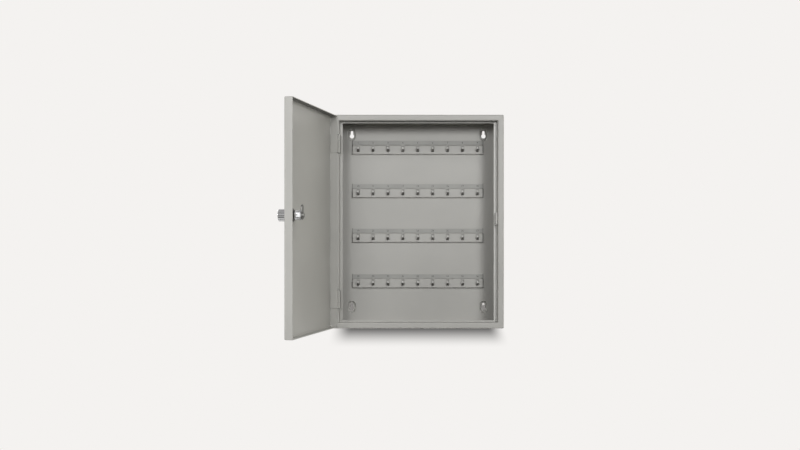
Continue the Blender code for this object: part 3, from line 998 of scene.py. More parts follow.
@dataclass
class BackTray:
    """The back panel: a tray with four dished keyholes for the wall screws."""

    finishes: Finishes
    sheet: float = 0.0010
    corner: float = 0.0009
    standoff: float = 0.0030
    dish_width: float = 0.0105
    dish_height: float = 0.0170
    slope: float = 0.0011
    soften: float = 0.0005
    dish_steps: int = 18
    profile_steps: int = 8
    head_radius: float = 0.0031
    slot_radius: float = 0.0017
    head_drop: float = 0.0021
    slot_rise: float = 0.0039
    from_side: float = 0.0240
    from_top: float = 0.0220
    from_bottom: float = 0.0269

    def build(self) -> None:
        """Build the tray."""
        low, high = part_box("back_panel")
        body_low, body_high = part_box("body_shell")
        rim = Rim(low, high, self.corner)
        half = self.sheet / 2
        panel = -self.standoff - half
        flange = high.y - low.y - self.standoff - self.sheet
        path = Fold(((half, low.y), (half, panel), (half + flange, panel)), self.sheet).open_path()
        draft = Draft()
        rings = draft.loft([rim.loop(point.x, point.x, point.y) for point in path], Ends.OPEN)
        fronts, rears = [[ring] for ring in sorted(rings, key=lambda ring: ring[0].co.y)]
        x = body_high.x - self.from_side
        top = body_high.z - self.from_top
        bottom = body_low.z + self.from_bottom
        for centre in ((-x, top), (x, top), (-x, bottom), (x, bottom)):
            front, rear = self._dish(draft, *centre)
            fronts.append(front)
            rears.append(rear)
        draft.fill(fronts)
        draft.fill(rears)
        settle(draft.done("back_tray"), self.finishes.paint, Body.CABINET, Slot.PAINT, "back_panel")

    def _dish(self, draft: Draft, x: float, z: float) -> tuple[Ring, Ring]:
        """Add one dish with its keyhole.

        Args:
            draft: The tray's draft.
            x: The dish's centre along x.
            z: The dish's centre along z.

        Returns:
            The rings where the dish meets the panel's front and rear.
        """
        outer_rings = []
        for skin_y, extra in ((-self.standoff - self.sheet, 0.0), (-self.standoff, self.sheet)):
            loops = []
            for i in range(self.profile_steps + 1):
                share = i / self.profile_steps
                smooth = share * share * (3 - 2 * share)
                inset = -self.soften + (self.slope + 2 * self.soften) * share
                half = self.dish_width / 2 + extra - inset
                straight = self.dish_height / 2 + extra - inset - half
                outline = arc((x, z + straight), half, 0.0, math.pi, self.dish_steps)
                outline += arc((x, z - straight), half, math.pi, math.pi, self.dish_steps)
                loops.append([(across, skin_y + self.standoff * smooth, up) for across, up in outline])
            outer, pad = draft.loft(loops, Ends.OPEN)
            hole = draft.ring(self._keyhole(x, z, skin_y + self.standoff))
            draft.fill([pad, hole])
            outer_rings.append((outer, hole))
        (front, front_hole), (rear, rear_hole) = outer_rings
        draft.skin(front_hole, rear_hole)
        return front, rear

    def _keyhole(self, x: float, z: float, y: float) -> list[Vector]:
        """Return the keyhole's outline: a round head with a slot rising from it.

        Args:
            x: The dish's centre along x.
            z: The dish's centre along z.
            y: The outline's place along y.

        Returns:
            The outline's points.
        """
        meet = math.asin(self.slot_radius / self.head_radius)
        sweep = math.tau - 2 * meet
        outline = arc((x, z - self.head_drop), self.head_radius, QUARTER + meet, sweep, self.dish_steps * 2)
        outline += arc((x, z + self.slot_rise), self.slot_radius, 0.0, math.pi, self.dish_steps)
        return [Vector((across, y, up)) for across, up in outline]


@dataclass
class HookBar:
    """One bar with nine lanced hooks, its number strip and the numbers on it."""

    finishes: Finishes
    number: int
    sheet: float = 0.0010
    bend: float = 0.0003
    cut_edge: float = 0.00015
    step: float = 0.0022
    label_height: float = 0.0073
    hooks: int = 9
    from_end: float = 0.0086
    root_width: float = 0.0037
    tip_width: float = 0.0024
    hook_length: float = 0.0097
    tip_length: float = 0.0020
    lean_deg: float = 26.0
    tip_lean_deg: float = 80.0
    tip_shares: tuple[float, ...] = (0.35, 0.6, 0.8, 0.93, 1.0)
    tip_blunt: float = 0.06
    tip_thinning: float = 0.35
    tip_power: int = 4
    drop: float = 0.0096
    rubbed_highlight_reach: float = 0.0081
    underside: float = -0.5
    end_shade: float = 0.0011
    section_radius: float = 0.0003
    section_share: float = 0.8
    section_steps: int = 3
    strip_corner: float = 0.0006
    strip_edge: float = 0.00008
    digit_size: float = 0.0037
    digit_depth: float = 0.00006
    digit_steps: int = 3
    low: Vector = field(init=False)
    high: Vector = field(init=False)

    def __post_init__(self) -> None:
        """Take the bar's place from the frame."""
        self.low, self.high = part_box(f"hook_bar_{self.number}")

    @property
    def fold_z(self) -> float:
        """Return the height of the fold between the label's face and the step."""
        return self.high.z - self.label_height

    @property
    def front(self) -> float:
        """Return the place of the bar's front face along y."""
        return self.high.y - self.sheet - self.step

    def build(self) -> None:
        """Build the bar, its strip and its numbers."""
        bar = self._sheet()
        carve(bar, self._windows())
        for x in self._places():
            carve(bar, self._tongue(x), Carve.JOIN)
        settle(bar, self.finishes.paint, Body.CABINET, Slot.PAINT, f"hook_bar_{self.number}")
        # Hook tips: partly key wear, partly painted highlight. Hook undersides and bar ends: painted shade.
        repaint(bar, self.finishes.rubbed_highlight, self._is_rubbed_highlight)
        repaint(bar, self.finishes.painted_shade, self._is_shaded)
        self._strip()
        self._numbers()

    def _is_rubbed_highlight(self, face: Face) -> bool:
        """Tell whether a face is on a hook's tip, which gets lighter paint for key wear and a painted
        highlight.
        """
        return face.center.y < self.front - self.rubbed_highlight_reach

    def _is_shaded(self, face: Face) -> bool:
        """Tell whether a face is under a hook or at the bar's end, where painted shade goes."""
        under_hook = face.center.y < self.front - CLEARANCE and face.normal.z < self.underside
        at_end = abs(face.center.x) > self.high.x - self.end_shade
        return (under_hook or at_end) and not self._is_rubbed_highlight(face)

    def _places(self) -> list[float]:
        """Return the hooks' places along the bar."""
        reach = self.high.x - self.from_end
        return [-reach + 2 * reach * i / (self.hooks - 1) for i in range(self.hooks)]

    def _sheet(self) -> bpy.types.Object:
        """Build the folded bar.

        Returns:
            The bar without its hooks.
        """
        half = self.sheet / 2
        fold = Fold((
            (self.high.y - half, self.high.z),
            (self.high.y - half, self.fold_z - half),
            (self.front + half, self.fold_z - half),
            (self.front + half, self.low.z + half),
            (self.high.y, self.low.z + half),
        ), self.sheet, self.bend, edge=self.cut_edge)
        draft = Draft()
        # Extra loops where the painted shade at the bar's ends starts.
        shades = (self.low.x + self.end_shade, self.high.x - self.end_shade)
        draft.sheet(fold, (self.low.x, self.high.x), between=shades)
        return draft.done(f"bar_{self.number}")

    def _windows(self) -> bpy.types.Object:
        """Build the cutter of the windows that the hooks are lanced from.

        Returns:
            The cutter.
        """
        draft = Draft()
        width = self.root_width / 2 + CLEARANCE
        for x in self._places():
            low = (x - width, self.front - OVERRUN, self.fold_z - self.drop)
            high = (x + width, self.front + self.sheet + CLEARANCE, self.fold_z + OVERRUN)
            draft.block(low, high)
        return draft.done("windows")

    def _tongue(self, x: float) -> bpy.types.Object:
        """Build one hook: a tongue with softened sides and a rounded, raised end.

        Args:
            x: Its place along the bar.

        Returns:
            The hook.
        """
        lean = math.radians(self.lean_deg)
        tip = math.radians(self.tip_lean_deg)
        root = Vector((self.front + self.sheet / 2, self.fold_z - self.drop))
        elbow = root + self.hook_length * Vector((-math.cos(lean), math.sin(lean)))
        end = elbow + self.tip_length * Vector((-math.cos(tip), math.sin(tip)))
        spine = Fold((tuple(root), tuple(elbow), tuple(end)), self.sheet).spine()
        before, last = spine[-2:]
        spine[-1:] = [(before[0].lerp(last[0], share), last[1]) for share in self.tip_shares]
        lengths = [0.0]
        for (near, _), (far, _) in zip(spine, spine[1:]):
            lengths.append(lengths[-1] + (far - near).length)
        round_start = lengths[-1] - self.tip_width / 2
        loops = []
        for (point, normal), length in zip(spine, lengths):
            share = length / lengths[-1]
            past = max(0.0, length - round_start) / (self.tip_width / 2)
            wide = (self.root_width * (1 - share) + self.tip_width * share) / 2
            wide *= math.sqrt(max(self.tip_blunt, 1 - past * past))
            thick = self.sheet / 2 * (1 - self.tip_thinning * past ** self.tip_power)
            loops.append(self._section(x, point, normal, wide, thick))
        draft = Draft()
        draft.loft(loops, Ends.CAPPED)
        return draft.done("tongue")

    def _section(self, x: float, point: Vector, normal: Vector, wide: float, thick: float) -> list[Vector]:
        """Return the hook's section: a rectangle with rounded corners.

        Args:
            x: The hook's place along the bar.
            point: The section's centre, along y and z.
            normal: The direction of its thickness.
            wide: Half its width.
            thick: Half its thickness.

        Returns:
            The section's points.
        """
        radius = min(self.section_radius, self.section_share * wide, self.section_share * thick)
        points = []
        for across, along in rounded_box((-wide, -thick), (wide, thick), radius, self.section_steps):
            spot = point + normal * along
            points.append(Vector((x + across, spot.x, spot.y)))
        return points

    def _strip(self) -> None:
        """Build the number strip."""
        node = f"number_strip_{self.number}"
        low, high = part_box(node)
        rim = Rim(low, high, self.strip_corner)
        edge = self.strip_edge
        stations = ((edge, high.y), (0.0, high.y - edge), (0.0, low.y + edge), (edge, low.y))
        draft = Draft()
        draft.loft([rim.loop(inset, inset, y) for inset, y in stations], Ends.CAPPED)
        settle(draft.done(f"strip_{self.number}"), self.finishes.film, Body.CABINET, Slot.STRIP, node)

    def _numbers(self) -> None:
        """Build the row of printed numbers."""
        low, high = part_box(f"number_strip_{self.number}")
        draft = Draft()
        for i, x in enumerate(self._places(), start=1):
            text = bpy.data.curves.new("figure", "FONT")
            text.body = str((self.number - 1) * self.hooks + i)
            text.size = self.digit_size
            text.extrude = self.digit_depth / 2
            text.resolution_u = self.digit_steps
            text.align_x = "CENTER"
            text.align_y = "CENTER"
            item = new_object("figure", text)
            data = final_mesh(item)
            middle = Matrix.Translation((x, low.y, (low.z + high.z) / 2))
            data.transform(middle @ Matrix.Rotation(QUARTER, 4, "X"))
            draft.mesh.from_mesh(data)
            bpy.data.objects.remove(item)
            bpy.data.curves.remove(text)
        settle(draft.done(f"strip_{self.number}_figures"), self.finishes.ink, Body.CABINET, Slot.STRIP)


@dataclass
class Strike:
    """The staple in the recess that the cam turns behind."""

    finishes: Finishes
    thickness: float = 0.0012
    bend: float = 0.0005
    edge: float = 0.0002

    def build(self) -> None:
        """Build the strike."""
        low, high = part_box("strike")
        half = self.thickness / 2
        fold = Fold((
            (high.y, low.z + half),
            (low.y + half, low.z + half),
            (low.y + half, high.z - half),
            (high.y, high.z - half),
        ), self.thickness, self.bend, edge=self.edge)
        draft = Draft()
        draft.sheet(fold, (low.x, high.x))
        settle(draft.done("staple"), self.finishes.paint, Body.CABINET, Slot.PAINT, "strike")


@dataclass
class DoorPan:
    """The door: a face with four flanges folded towards the body and the lock's hole."""

    finishes: Finishes
    place: Matrix
    lock: Vector
    sheet: float = 0.0010
    corner: float = 0.0012
    depth: float = 0.0106
    rim_y: float = -0.00185
    left_x: float = 0.0035
    right_x: float = 0.2298
    hole_radius: float = 0.00655
    hole_flat: float = 0.0058
    hole_steps: int = 48

    def build(self) -> None:
        """Build the door pan."""
        low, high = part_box("door_pan")
        rim = Rim(Vector((self.left_x, 0.0, low.z)), Vector((self.right_x, 0.0, high.z)), self.corner)
        half = self.sheet / 2
        face_y = self.rim_y - self.depth + half
        path = Fold(((half, self.rim_y), (half, face_y), (half + self.depth, face_y)), self.sheet).open_path()
        draft = Draft()
        rings = draft.loft([rim.loop(point.x, point.x, point.y) for point in path], Ends.OPEN)
        holes = []
        for ring in rings:
            holes.append(draft.ring(self._hole(ring[0].co.y)))
            draft.fill([ring, holes[-1]])
        draft.skin(*holes)
        pan = draft.done("door_sheet", self.place)

        def under_flange(face: Face) -> bool:
            """Tell whether a face is on the underside of the top flange, which gets painted shade."""
            return face.normal.z < FACING_DOWN and face.center.z > high.z - 2 * self.sheet

        settle(pan, self.finishes.paint, Body.DOOR, Slot.PAINT, "door_pan")
        repaint(pan, self.finishes.painted_shade, under_flange)

    def _hole(self, y: float) -> list[Vector]:
        """Return the outline of the lock's hole with its two flats.

        Args:
            y: The outline's place along y.

        Returns:
            The outline's points.
        """
        points = []
        for aside, up in arc((0.0, 0.0), self.hole_radius, 0.0, math.tau, self.hole_steps)[:-1]:
            flat = max(-self.hole_flat, min(self.hole_flat, aside))
            points.append(Vector((self.lock.x + flat, y, self.lock.z + up)))
        return points


@dataclass
class Hinge:
    """One hinge: two leaves with rolled knuckles and the pin through them.

    The body leaf's offset and the places of the door leaf's arm are in radii of the curl, and the
    rises of the pin's head in heights of the head.
    """

    finishes: Finishes
    side: str
    door: Matrix
    sheet: float = 0.0010
    bend: float = 0.0003
    cut_edge: float = 0.00015
    knuckle_radius: float = 0.0023
    pin_radius: float = 0.0010
    pin_head_radius: float = 0.0018
    pin_head_height: float = 0.0007
    head_flat: float = 0.55
    head_rises: Span = (0.2, 1.6 / 3)
    segments: int = 3
    segment_gap: float = 0.0005
    curl_deg: float = 322.0
    curl_steps: int = 30
    arm_y: float = -0.00105
    plate_x: float = 0.0053
    plate_end_y: float = -0.01115
    body_offset: Span = (2.0, 1.2)
    arm_end: float = 1.6
    arm_tangent: float = 0.9
    pin_steps: int = 28
    side_facing: float = 0.72
    end_facing: float = 0.5
    pin: tuple[Vector, Vector] = field(init=False)
    leaf: tuple[Vector, Vector] = field(init=False)

    def __post_init__(self) -> None:
        """Take the places of the pin and the body's leaf from the frame."""
        self.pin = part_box(f"{self.side}_hinge_pin")
        self.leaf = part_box(f"{self.side}_hinge_body_leaf")

    @property
    def axis(self) -> Vector:
        """Return the pin's axis, along x and y."""
        return (self.pin[0].xy + self.pin[1].xy) / 2

    @property
    def curl_radius(self) -> float:
        """Return the radius of a knuckle's centreline."""
        return self.knuckle_radius - self.sheet / 2

    def build(self) -> None:
        """Build both leaves and the pin."""
        low = self.leaf[0].z
        high = self.leaf[1].z
        middle = (low + high) / 2
        half_segment = (high - low - (self.segments - 1) * self.segment_gap) / self.segments / 2
        roll = self.curl_radius
        axis = self.axis
        plate_x = axis.x + CLEARANCE * 2 + self.sheet / 2
        offset_start, offset_end = self.body_offset
        body_corners = (
            (plate_x, self.leaf[1].y),
            (plate_x, axis.y + offset_start * roll),
            (axis.x + roll, axis.y + offset_end * roll),
            (axis.x + roll, axis.y),
        )
        past_middle = ((low - OVERRUN, middle - half_segment), (middle + half_segment, high + OVERRUN))
        self._leaf(Body.CABINET, body_corners, axis, 0.0, past_middle)
        door_corners = (
            (self.plate_x, self.plate_end_y),
            (self.plate_x, self.arm_y),
            (self.arm_end * roll, self.arm_y),
            (self.arm_tangent * roll, -roll),
            (0.0, -roll),
        )
        reach = half_segment + self.segment_gap
        self._leaf(Body.DOOR, door_corners, Vector((0.0, 0.0)), -QUARTER, ((middle - reach, middle + reach),))
        self._pin()

    def _leaf(
        self, body: Body, corners: tuple[Span, ...], centre: Vector, start: float, cuts: tuple[Span, ...],
    ) -> None:
        """Build a leaf, rolled along its whole length and cut back to its own knuckles.

        Args:
            body: The body that it rides on.
            corners: Its section's corners, up to the knuckle.
            centre: The knuckle's centre.
            start: The angle that the knuckle starts at.
            cuts: The stretches along z that the other leaf's knuckles need.
        """
        kind = "door_leaf" if body is Body.DOOR else "body_leaf"
        place = self.door if body is Body.DOOR else None
        fold = Fold(corners, self.sheet, self.bend, edge=self.cut_edge)
        curl = arc_spine(centre, self.curl_radius, start, -math.radians(self.curl_deg), self.curl_steps)
        draft = Draft()
        draft.sheet(fold, (self.leaf[0].z, self.leaf[1].z), fold.spine()[:-1] + curl)
        leaf = draft.done(f"{self.side}_{kind}", place)
        room = self.knuckle_radius + CLEARANCE
        cutter = Draft()
        for low, high in cuts:
            cutter.block((centre.x - room, centre.y - room, low), (centre.x + room, centre.y + room, high))
        carve(leaf, cutter.done("room", place), solver=Solver.MANIFOLD)
        settle(leaf, self.finishes.hinge_paint, body, Slot.PAINT, f"{self.side}_hinge_{kind}")
        # Painted shade on the knuckles' sides and ends.
        repaint(leaf, self.finishes.painted_shade, self._in_gap_shade)

    def _in_gap_shade(self, face: Face) -> bool:
        """Tell whether a face is on a knuckle's sides or ends, beside a narrow gap, where painted shade goes.
        """
        on_knuckle = (face.center.xy - self.axis).length < self.knuckle_radius + CLEARANCE
        return on_knuckle and (abs(face.normal.x) > self.side_facing or abs(face.normal.z) > self.end_facing)

    def _pin(self) -> None:
        """Build the pin with its two domed heads."""
        head = self.pin_head_height
        low, high = self.head_rises
        half = (
            (self.pin_head_radius * self.head_flat, 0.0),
            (self.pin_head_radius - head * (high - low), head * low),
            (self.pin_head_radius, head * high),
            (self.pin_head_radius, head),
            (self.pin_radius, head),
        )
        profile = [(radius, self.pin[0].z + rise) for radius, rise in half]
        profile += [(radius, self.pin[1].z - rise) for radius, rise in half[::-1]]
        draft = Draft()
        draft.turn(profile, self.pin_steps, Ends.CAPPED)
        upright = Matrix.Translation(self.axis.to_3d()) @ Matrix.Rotation(QUARTER, 4, "X")
        pin = draft.done(f"{self.side}_pin", upright)
        settle(pin, self.finishes.zinc, Body.CABINET, Slot.ZINC, f"{self.side}_hinge_pin")


@dataclass
class Lock:
    """The knob lock: rosette and threaded barrel, washer, nut, knob, plug, cam and screw.

    The keyway's shares are the left, bottom, right and top of its steps, in halves of its size.
    """

    finishes: Finishes
    place: Matrix
    steps: int = 72
    barrel_radius: float = 0.00625
    barrel_length: float = 0.0162
    barrel_flat: float = 0.0055
    thread_pitch: float = 0.0010
    thread_depth: float = 0.0004
    thread_stations: int = 8
    barrel_shade_reach: float = 0.0086
    underside: float = -0.75
    rosette_radius: float = 0.0087
    rosette_thickness: float = 0.0012
    rosette_round: float = 0.0006
    rosette_steps: int = 4
    spindle_radius: float = 0.0035
    square: float = 0.0046
    door_sheet: float = 0.0010
    washer_radius: float = 0.0092
    washer_thickness: float = 0.0010
    nut_sides: int = 6
    nut_corner_radius: float = 0.0089
    nut_thickness: float = 0.0036
    nut_chamfer_deg: float = 58.0
    nut_steps: int = 120
    chamfer_steps: int = 6
    knob_radius: float = 0.0079
    knob_proud: float = 0.0126
    knob_chamfer: float = 0.0013
    knob_foot: float = 0.0004
    knob_face: float = 0.00208
    knob_steps: int = 8
    flutes: int = 14
    flute_depth: float = 0.0006
    flute_steps: int = 14
    plug_radius: float = 0.0043
    plug_length: float = 0.0075
    plug_proud: float = 0.0003
    keyway_width: float = 0.0013
    keyway_height: float = 0.0052
    keyway_depth: float = 0.0060
    keyway_shares: tuple[tuple[float, float, float, float], ...] = (
        (-1.0, -1.0, 0.0, 1.0),
        (0.3, -0.9, 1.0, 0.15),
        (-0.5, -0.35, 0.6, 0.9),
    )
    cam_thickness: float = 0.0015
    cam_width: float = 0.0080
    cam_hub_radius: float = 0.0055
    cam_reach: float = 0.0131
    screw_head_radius: float = 0.0034
    screw_head_height: float = 0.0017
    screw_radius: float = 0.0013
    screw_length: float = 0.0060
    screw_slot: float = 0.0008
    dome_share: float = 0.92
    dome_flat: float = 0.45
    dome_steps: int = 6
    edge: float = 0.0002

    @property
    def bore(self) -> float:
        """Return the radius of the holes that the barrel passes through."""
        return self.barrel_radius + CLEARANCE

    def build(self) -> None:
        """Build every piece of the lock."""
        self._housing()
        self._washer()
        self._nut()
        self._knob()
        self._plug()
        self._cam()
        self._screw()

    def _square_radius(self, angle: float, half: float) -> float:
        """Return the reach of a square's side at an angle."""
        return half / max(abs(math.cos(angle)), abs(math.sin(angle)))

    def _turned(
        self, name: str, profile: Sequence[Span], ends: Ends, shape: Shape | None = None, steps: int = 0,
    ) -> bpy.types.Object:
        """Turn a piece about the lock's axis.

        Args:
            name: Its name.
            profile: Pairs of radius and place along the axis.
            ends: How the first and last ring are closed.
            shape: What gives the true radius, if it varies.
            steps: Points round each ring, if they aren't the lock's usual number.

        Returns:
            The piece, in its place on the door.
        """
        draft = Draft()
        draft.turn(profile, steps or self.steps, ends, shape)
        return draft.done(name, self.place)

    def _housing(self) -> None:
        """Build the rosette and the barrel with its thread and two flats."""
        rear = -CLEARANCE
        front = rear - self.rosette_thickness
        bore = self.spindle_radius + CLEARANCE
        rim = self.rosette_radius - self.rosette_round
        profile = [(bore, front)]
        rounding = (rim, front + self.rosette_round)
        profile += arc(rounding, self.rosette_round, -QUARTER, QUARTER, self.rosette_steps)
        profile += [(self.rosette_radius, rear), (self.barrel_radius, rear)]
        count = round(self.barrel_length / self.thread_pitch * self.thread_stations)
        for i in range(count + 1):
            profile.append((self.barrel_radius, self.barrel_length * i / count))
        profile.append((self.barrel_radius - 2 * self.edge, self.barrel_length))
        profile.append((bore, self.barrel_length))
        thread_end = self.barrel_length - self.thread_pitch

        def reach(angle: float, radius: float, y: float) -> float:
            """Return the radius with the thread cut in it.

            Args:
                angle: The angle, in radians.
                radius: The profile's radius.
                y: The place along the axis.

            Returns:
                The true radius.
            """
            if radius != self.barrel_radius or y < 0:
                return radius
            phase = math.tau * y / self.thread_pitch - angle
            fade = min(1.0, max(0.0, (y - self.door_sheet) / self.thread_pitch))
            fade *= 1.0 if y < thread_end else max(0.0, (self.barrel_length - y) / self.thread_pitch)
            return radius - self.thread_depth * (1 - math.cos(phase)) / 2 * fade

        draft = Draft()
        draft.turn(profile, self.steps, Ends.RINGED, reach)
        for vertex in draft.mesh.verts:
            if vertex.co.y > rear and math.hypot(vertex.co.x, vertex.co.z) > bore + self.edge:
                vertex.co.x = max(-self.barrel_flat, min(self.barrel_flat, vertex.co.x))
        barrel = draft.done("rosette_and_barrel", self.place)
        inverse = self.place.inverted()
        door_side = self.door_sheet

        def barrel_shade(face: Face) -> bool:
            """Tell whether a face gets painted shade: on the thread near the door or under the barrel."""
            along = (inverse @ face.center).y
            return door_side < along < self.barrel_shade_reach or along > 0 and face.normal.z < self.underside

        settle(barrel, self.finishes.satin, Body.DOOR, Slot.CHROME, "lock_housing")
        # Painted shade on the barrel near the door and on its underside.
        repaint(barrel, self.finishes.dark_zinc_and_shade, barrel_shade)

    def _washer(self) -> None:
        """Build the washer between the door and the nut."""
        start = self.door_sheet + CLEARANCE
        end = start + self.washer_thickness
        bore = self.bore
        edge = self.edge
        radius = self.washer_radius
        profile = (
            (bore + edge, start),
            (radius - edge, start),
            (radius, start + edge),
            (radius, end - edge),
            (radius - edge, end),
            (bore + edge, end),
            (bore, end - edge),
            (bore, start + edge),
        )
        washer = self._turned("washer", profile, Ends.RINGED)
        settle(washer, self.finishes.dark_zinc_and_shade, Body.DOOR, Slot.ZINC, "lock_washer")

    def _nut(self) -> None:
        """Build the hexagon nut with its chamfered corners."""
        start = self.door_sheet + CLEARANCE + self.washer_thickness + CLEARANCE
        end = start + self.nut_thickness
        sector = math.pi / self.nut_sides
        corner = self.nut_corner_radius
        flat = corner * math.cos(sector)
        slope = math.tan(math.radians(self.nut_chamfer_deg))
        bore = self.bore
        face = flat - self.edge
        chamfer = (corner - face) / slope

        def reach(angle: float, radius: float, y: float) -> float:
            """Return the hexagon's reach, cut back by the chamfer's cone.

            Args:
                angle: The angle, in radians.
                radius: The profile's radius.
                y: The place along the axis.

            Returns:
                The true radius.
            """
            if radius <= bore + self.edge:
                return radius
            side = flat / math.cos((angle + sector) % (2 * sector) - sector)
            return min(side, face + slope * min(y - start, end - y))

        rises = [chamfer * i / self.chamfer_steps for i in range(self.chamfer_steps + 1)]
        profile = [(bore + self.edge, start)]
        profile += [(corner, start + rise) for rise in rises]
        profile += [(corner, end - rise) for rise in rises[::-1]]
        profile += [(bore + self.edge, end), (bore, end - self.edge), (bore, start + self.edge)]
        nut = self._turned("barrel_nut", profile, Ends.RINGED, reach, self.nut_steps)
        settle(nut, self.finishes.dark_zinc_and_shade, Body.DOOR, Slot.ZINC, "lock_nut")

    def _knob(self) -> None:
        """Build the fluted knob with its spindle, its square end and the plug's bore."""
        base = -self.rosette_thickness - 2 * CLEARANCE
        face = -self.knob_proud
        cam_end = self.barrel_length + CLEARANCE + self.cam_thickness
        radius = self.knob_radius
        root = radius - self.flute_depth
        bore = self.plug_radius + CLEARANCE
        foot = self.knob_foot
        edge = self.edge
        shoulder = self.knob_chamfer
        profile = [
            (self.spindle_radius - edge, cam_end),
            (self.spindle_radius, cam_end - edge),
            (self.spindle_radius, self.barrel_length + edge),
            (self.spindle_radius, self.barrel_length),
            (self.spindle_radius, base),
            (radius - 3 * foot, base),
            (radius - foot, base),
            (radius, base - foot),
            (radius, base - 2 * foot),
        ]
        profile += arc((radius - shoulder, face + shoulder), shoulder, 0.0, -QUARTER, self.knob_steps)
        profile += [
            (radius - self.knob_face, face),
            (bore + 3 * edge, face),
            (bore + 2 * edge, face + edge),
            (bore + edge, face + edge),
            (bore, face + 2 * edge),
            (bore, face + self.plug_length + CLEARANCE),
        ]

        def reach(angle: float, size: float, y: float) -> float:
            """Return the radius with the flutes, and the square at the spindle's end.

            Args:
                angle: The angle, in radians.
                size: The profile's radius.
                y: The place along the axis.

            Returns:
                The true radius.
            """
            if y > self.barrel_length:
                return min(size, self._square_radius(angle, self.square / 2))
            if size <= root or y > base:
                return size
            rib = math.sqrt(abs(math.cos(self.flutes * angle / 2)))
            return min(size, root + self.flute_depth * rib)

        knob = self._turned("fluted_knob", profile, Ends.CAPPED, reach, self.flutes * self.flute_steps)
        settle(knob, self.finishes.chrome, Body.KNOB, Slot.CHROME, "knob")

    def _plug(self) -> None:
        """Build the plug with its stepped keyway."""
        start = -self.knob_proud - self.plug_proud
        end = -self.knob_proud + self.plug_length
        edge = self.edge
        radius = self.plug_radius
        profile = ((radius - edge, start), (radius, start + edge), (radius, end - edge), (radius - edge, end))
        plug = self._turned("plug", profile, Ends.CAPPED)
        half = self.keyway_width / 2
        rise = self.keyway_height / 2
        cutter = Draft()
        for left, bottom, right, top in self.keyway_shares:
            low = (half * left, start - OVERRUN, rise * bottom)
            cutter.block(low, (half * right, start + self.keyway_depth, rise * top))
        carve(plug, cutter.done("keyway", self.place), solver=Solver.MANIFOLD)
        settle(plug, self.finishes.chrome, Body.PLUG, Slot.CHROME, "key_plug")

    def _cam_outline(self, angle: float) -> float:
        """Return the cam's reach at an angle from x, with its arm along z.

        Args:
            angle: The angle, in radians.

        Returns:
            The distance from the axis to the cam's edge.
        """
        half = self.cam_width / 2
        centre = self.cam_reach - half
        across = abs(math.cos(angle))
        along = math.sin(angle)
        if along <= 0:
            return self.cam_hub_radius
        arm = half / max(across, TINY)
        if arm * along > centre:
            arm = centre * along + math.sqrt(max(0.0, half ** 2 - (centre * across) ** 2))
        return max(self.cam_hub_radius, arm)

    def _cam(self) -> None:
        """Build the cam, which points up when the lock is open."""
        start = self.barrel_length + CLEARANCE
        end = start + self.cam_thickness
        hole = self.square / 2 + CLEARANCE
        edge = self.edge
        at_hole = 2.0
        profile = (
            (at_hole, start),
            (1.0, start),
            (0.0, start + edge),
            (0.0, end - edge),
            (1.0, end),
            (at_hole, end),
        )

        def reach(angle: float, kind: float, y: float) -> float:
            """Return the reach of the square hole or of the cam's outline.

            Args:
                angle: The angle, in radians.
                kind: The share of the edge that the outline is drawn in by, or the hole's mark.
                y: The place along the axis; not used.

            Returns:
                The distance from the axis.
            """
            if kind == at_hole:
                return self._square_radius(angle, hole)
            return self._cam_outline(angle) - kind * edge

        cam = self._turned("cam_arm", profile, Ends.RINGED, reach, 2 * self.steps)
        settle(cam, self.finishes.dull_zinc, Body.KNOB, Slot.ZINC, "cam")

    def _screw(self) -> None:
        """Build the screw that holds the cam, with a slot in its head."""
        seat = self.barrel_length + CLEARANCE + self.cam_thickness + CLEARANCE
        point = seat - self.screw_length
        top = seat + self.screw_head_height
        radius = self.screw_head_radius
        edge = self.edge
        profile = [
            (self.screw_radius - edge, point),
            (self.screw_radius, point + edge),
            (self.screw_radius, seat),
            (radius - edge, seat),
            (radius, seat + edge),
        ]
        dome_end = QUARTER * self.dome_share
        for i in range(1, self.dome_steps + 1):
            turn = dome_end * i / self.dome_steps
            rise = (self.screw_head_height - edge) * math.sin(turn) / math.sin(dome_end)
            reach = radius * (self.dome_flat + (1 - self.dome_flat) * math.cos(turn))
            profile.append((reach, min(seat + edge + rise, top)))
        screw = self._turned("cam_fixing_screw", profile, Ends.CAPPED, steps=self.steps // 2)
        half = self.screw_slot / 2
        far = radius + OVERRUN
        cutter = Draft()
        cutter.block((-far, top - self.screw_slot, -half), (far, top + OVERRUN, half))
        carve(screw, cutter.done("driver_slot", self.place))
        settle(screw, self.finishes.dull_zinc, Body.KNOB, Slot.ZINC, "cam_screw")


@dataclass(frozen=True)
class Lamp:
    """One soft lamp, aimed at the cabinet's middle."""

    name: str
    azimuth_deg: float
    elevation_deg: float
    share: float
    size: float = 0.5
    distance: float = 2.0
    tint: Colour = (1.0, 1.0, 1.0)

    def make(self) -> None:
        """Make the lamp. Its share is what a facing surface gets of the plain level."""
        azimuth = math.radians(self.azimuth_deg)
        elevation = math.radians(self.elevation_deg)
        towards = Vector((
            math.sin(azimuth) * math.cos(elevation),
            -math.cos(azimuth) * math.cos(elevation),
            math.sin(elevation),
        ))
        light = bpy.data.lights.new(self.name, "AREA")
        light.shape = "ELLIPSE"
        light.size = self.size
        light.size_y = self.size
        light.color = self.tint
        light.energy = self.share * (math.pi * self.distance) ** 2
        item = new_object(self.name, light)
        item.visible_camera = False
        item.location = towards * self.distance
        item.rotation_euler = (-towards).to_track_quat("-Z", "Y").to_euler()


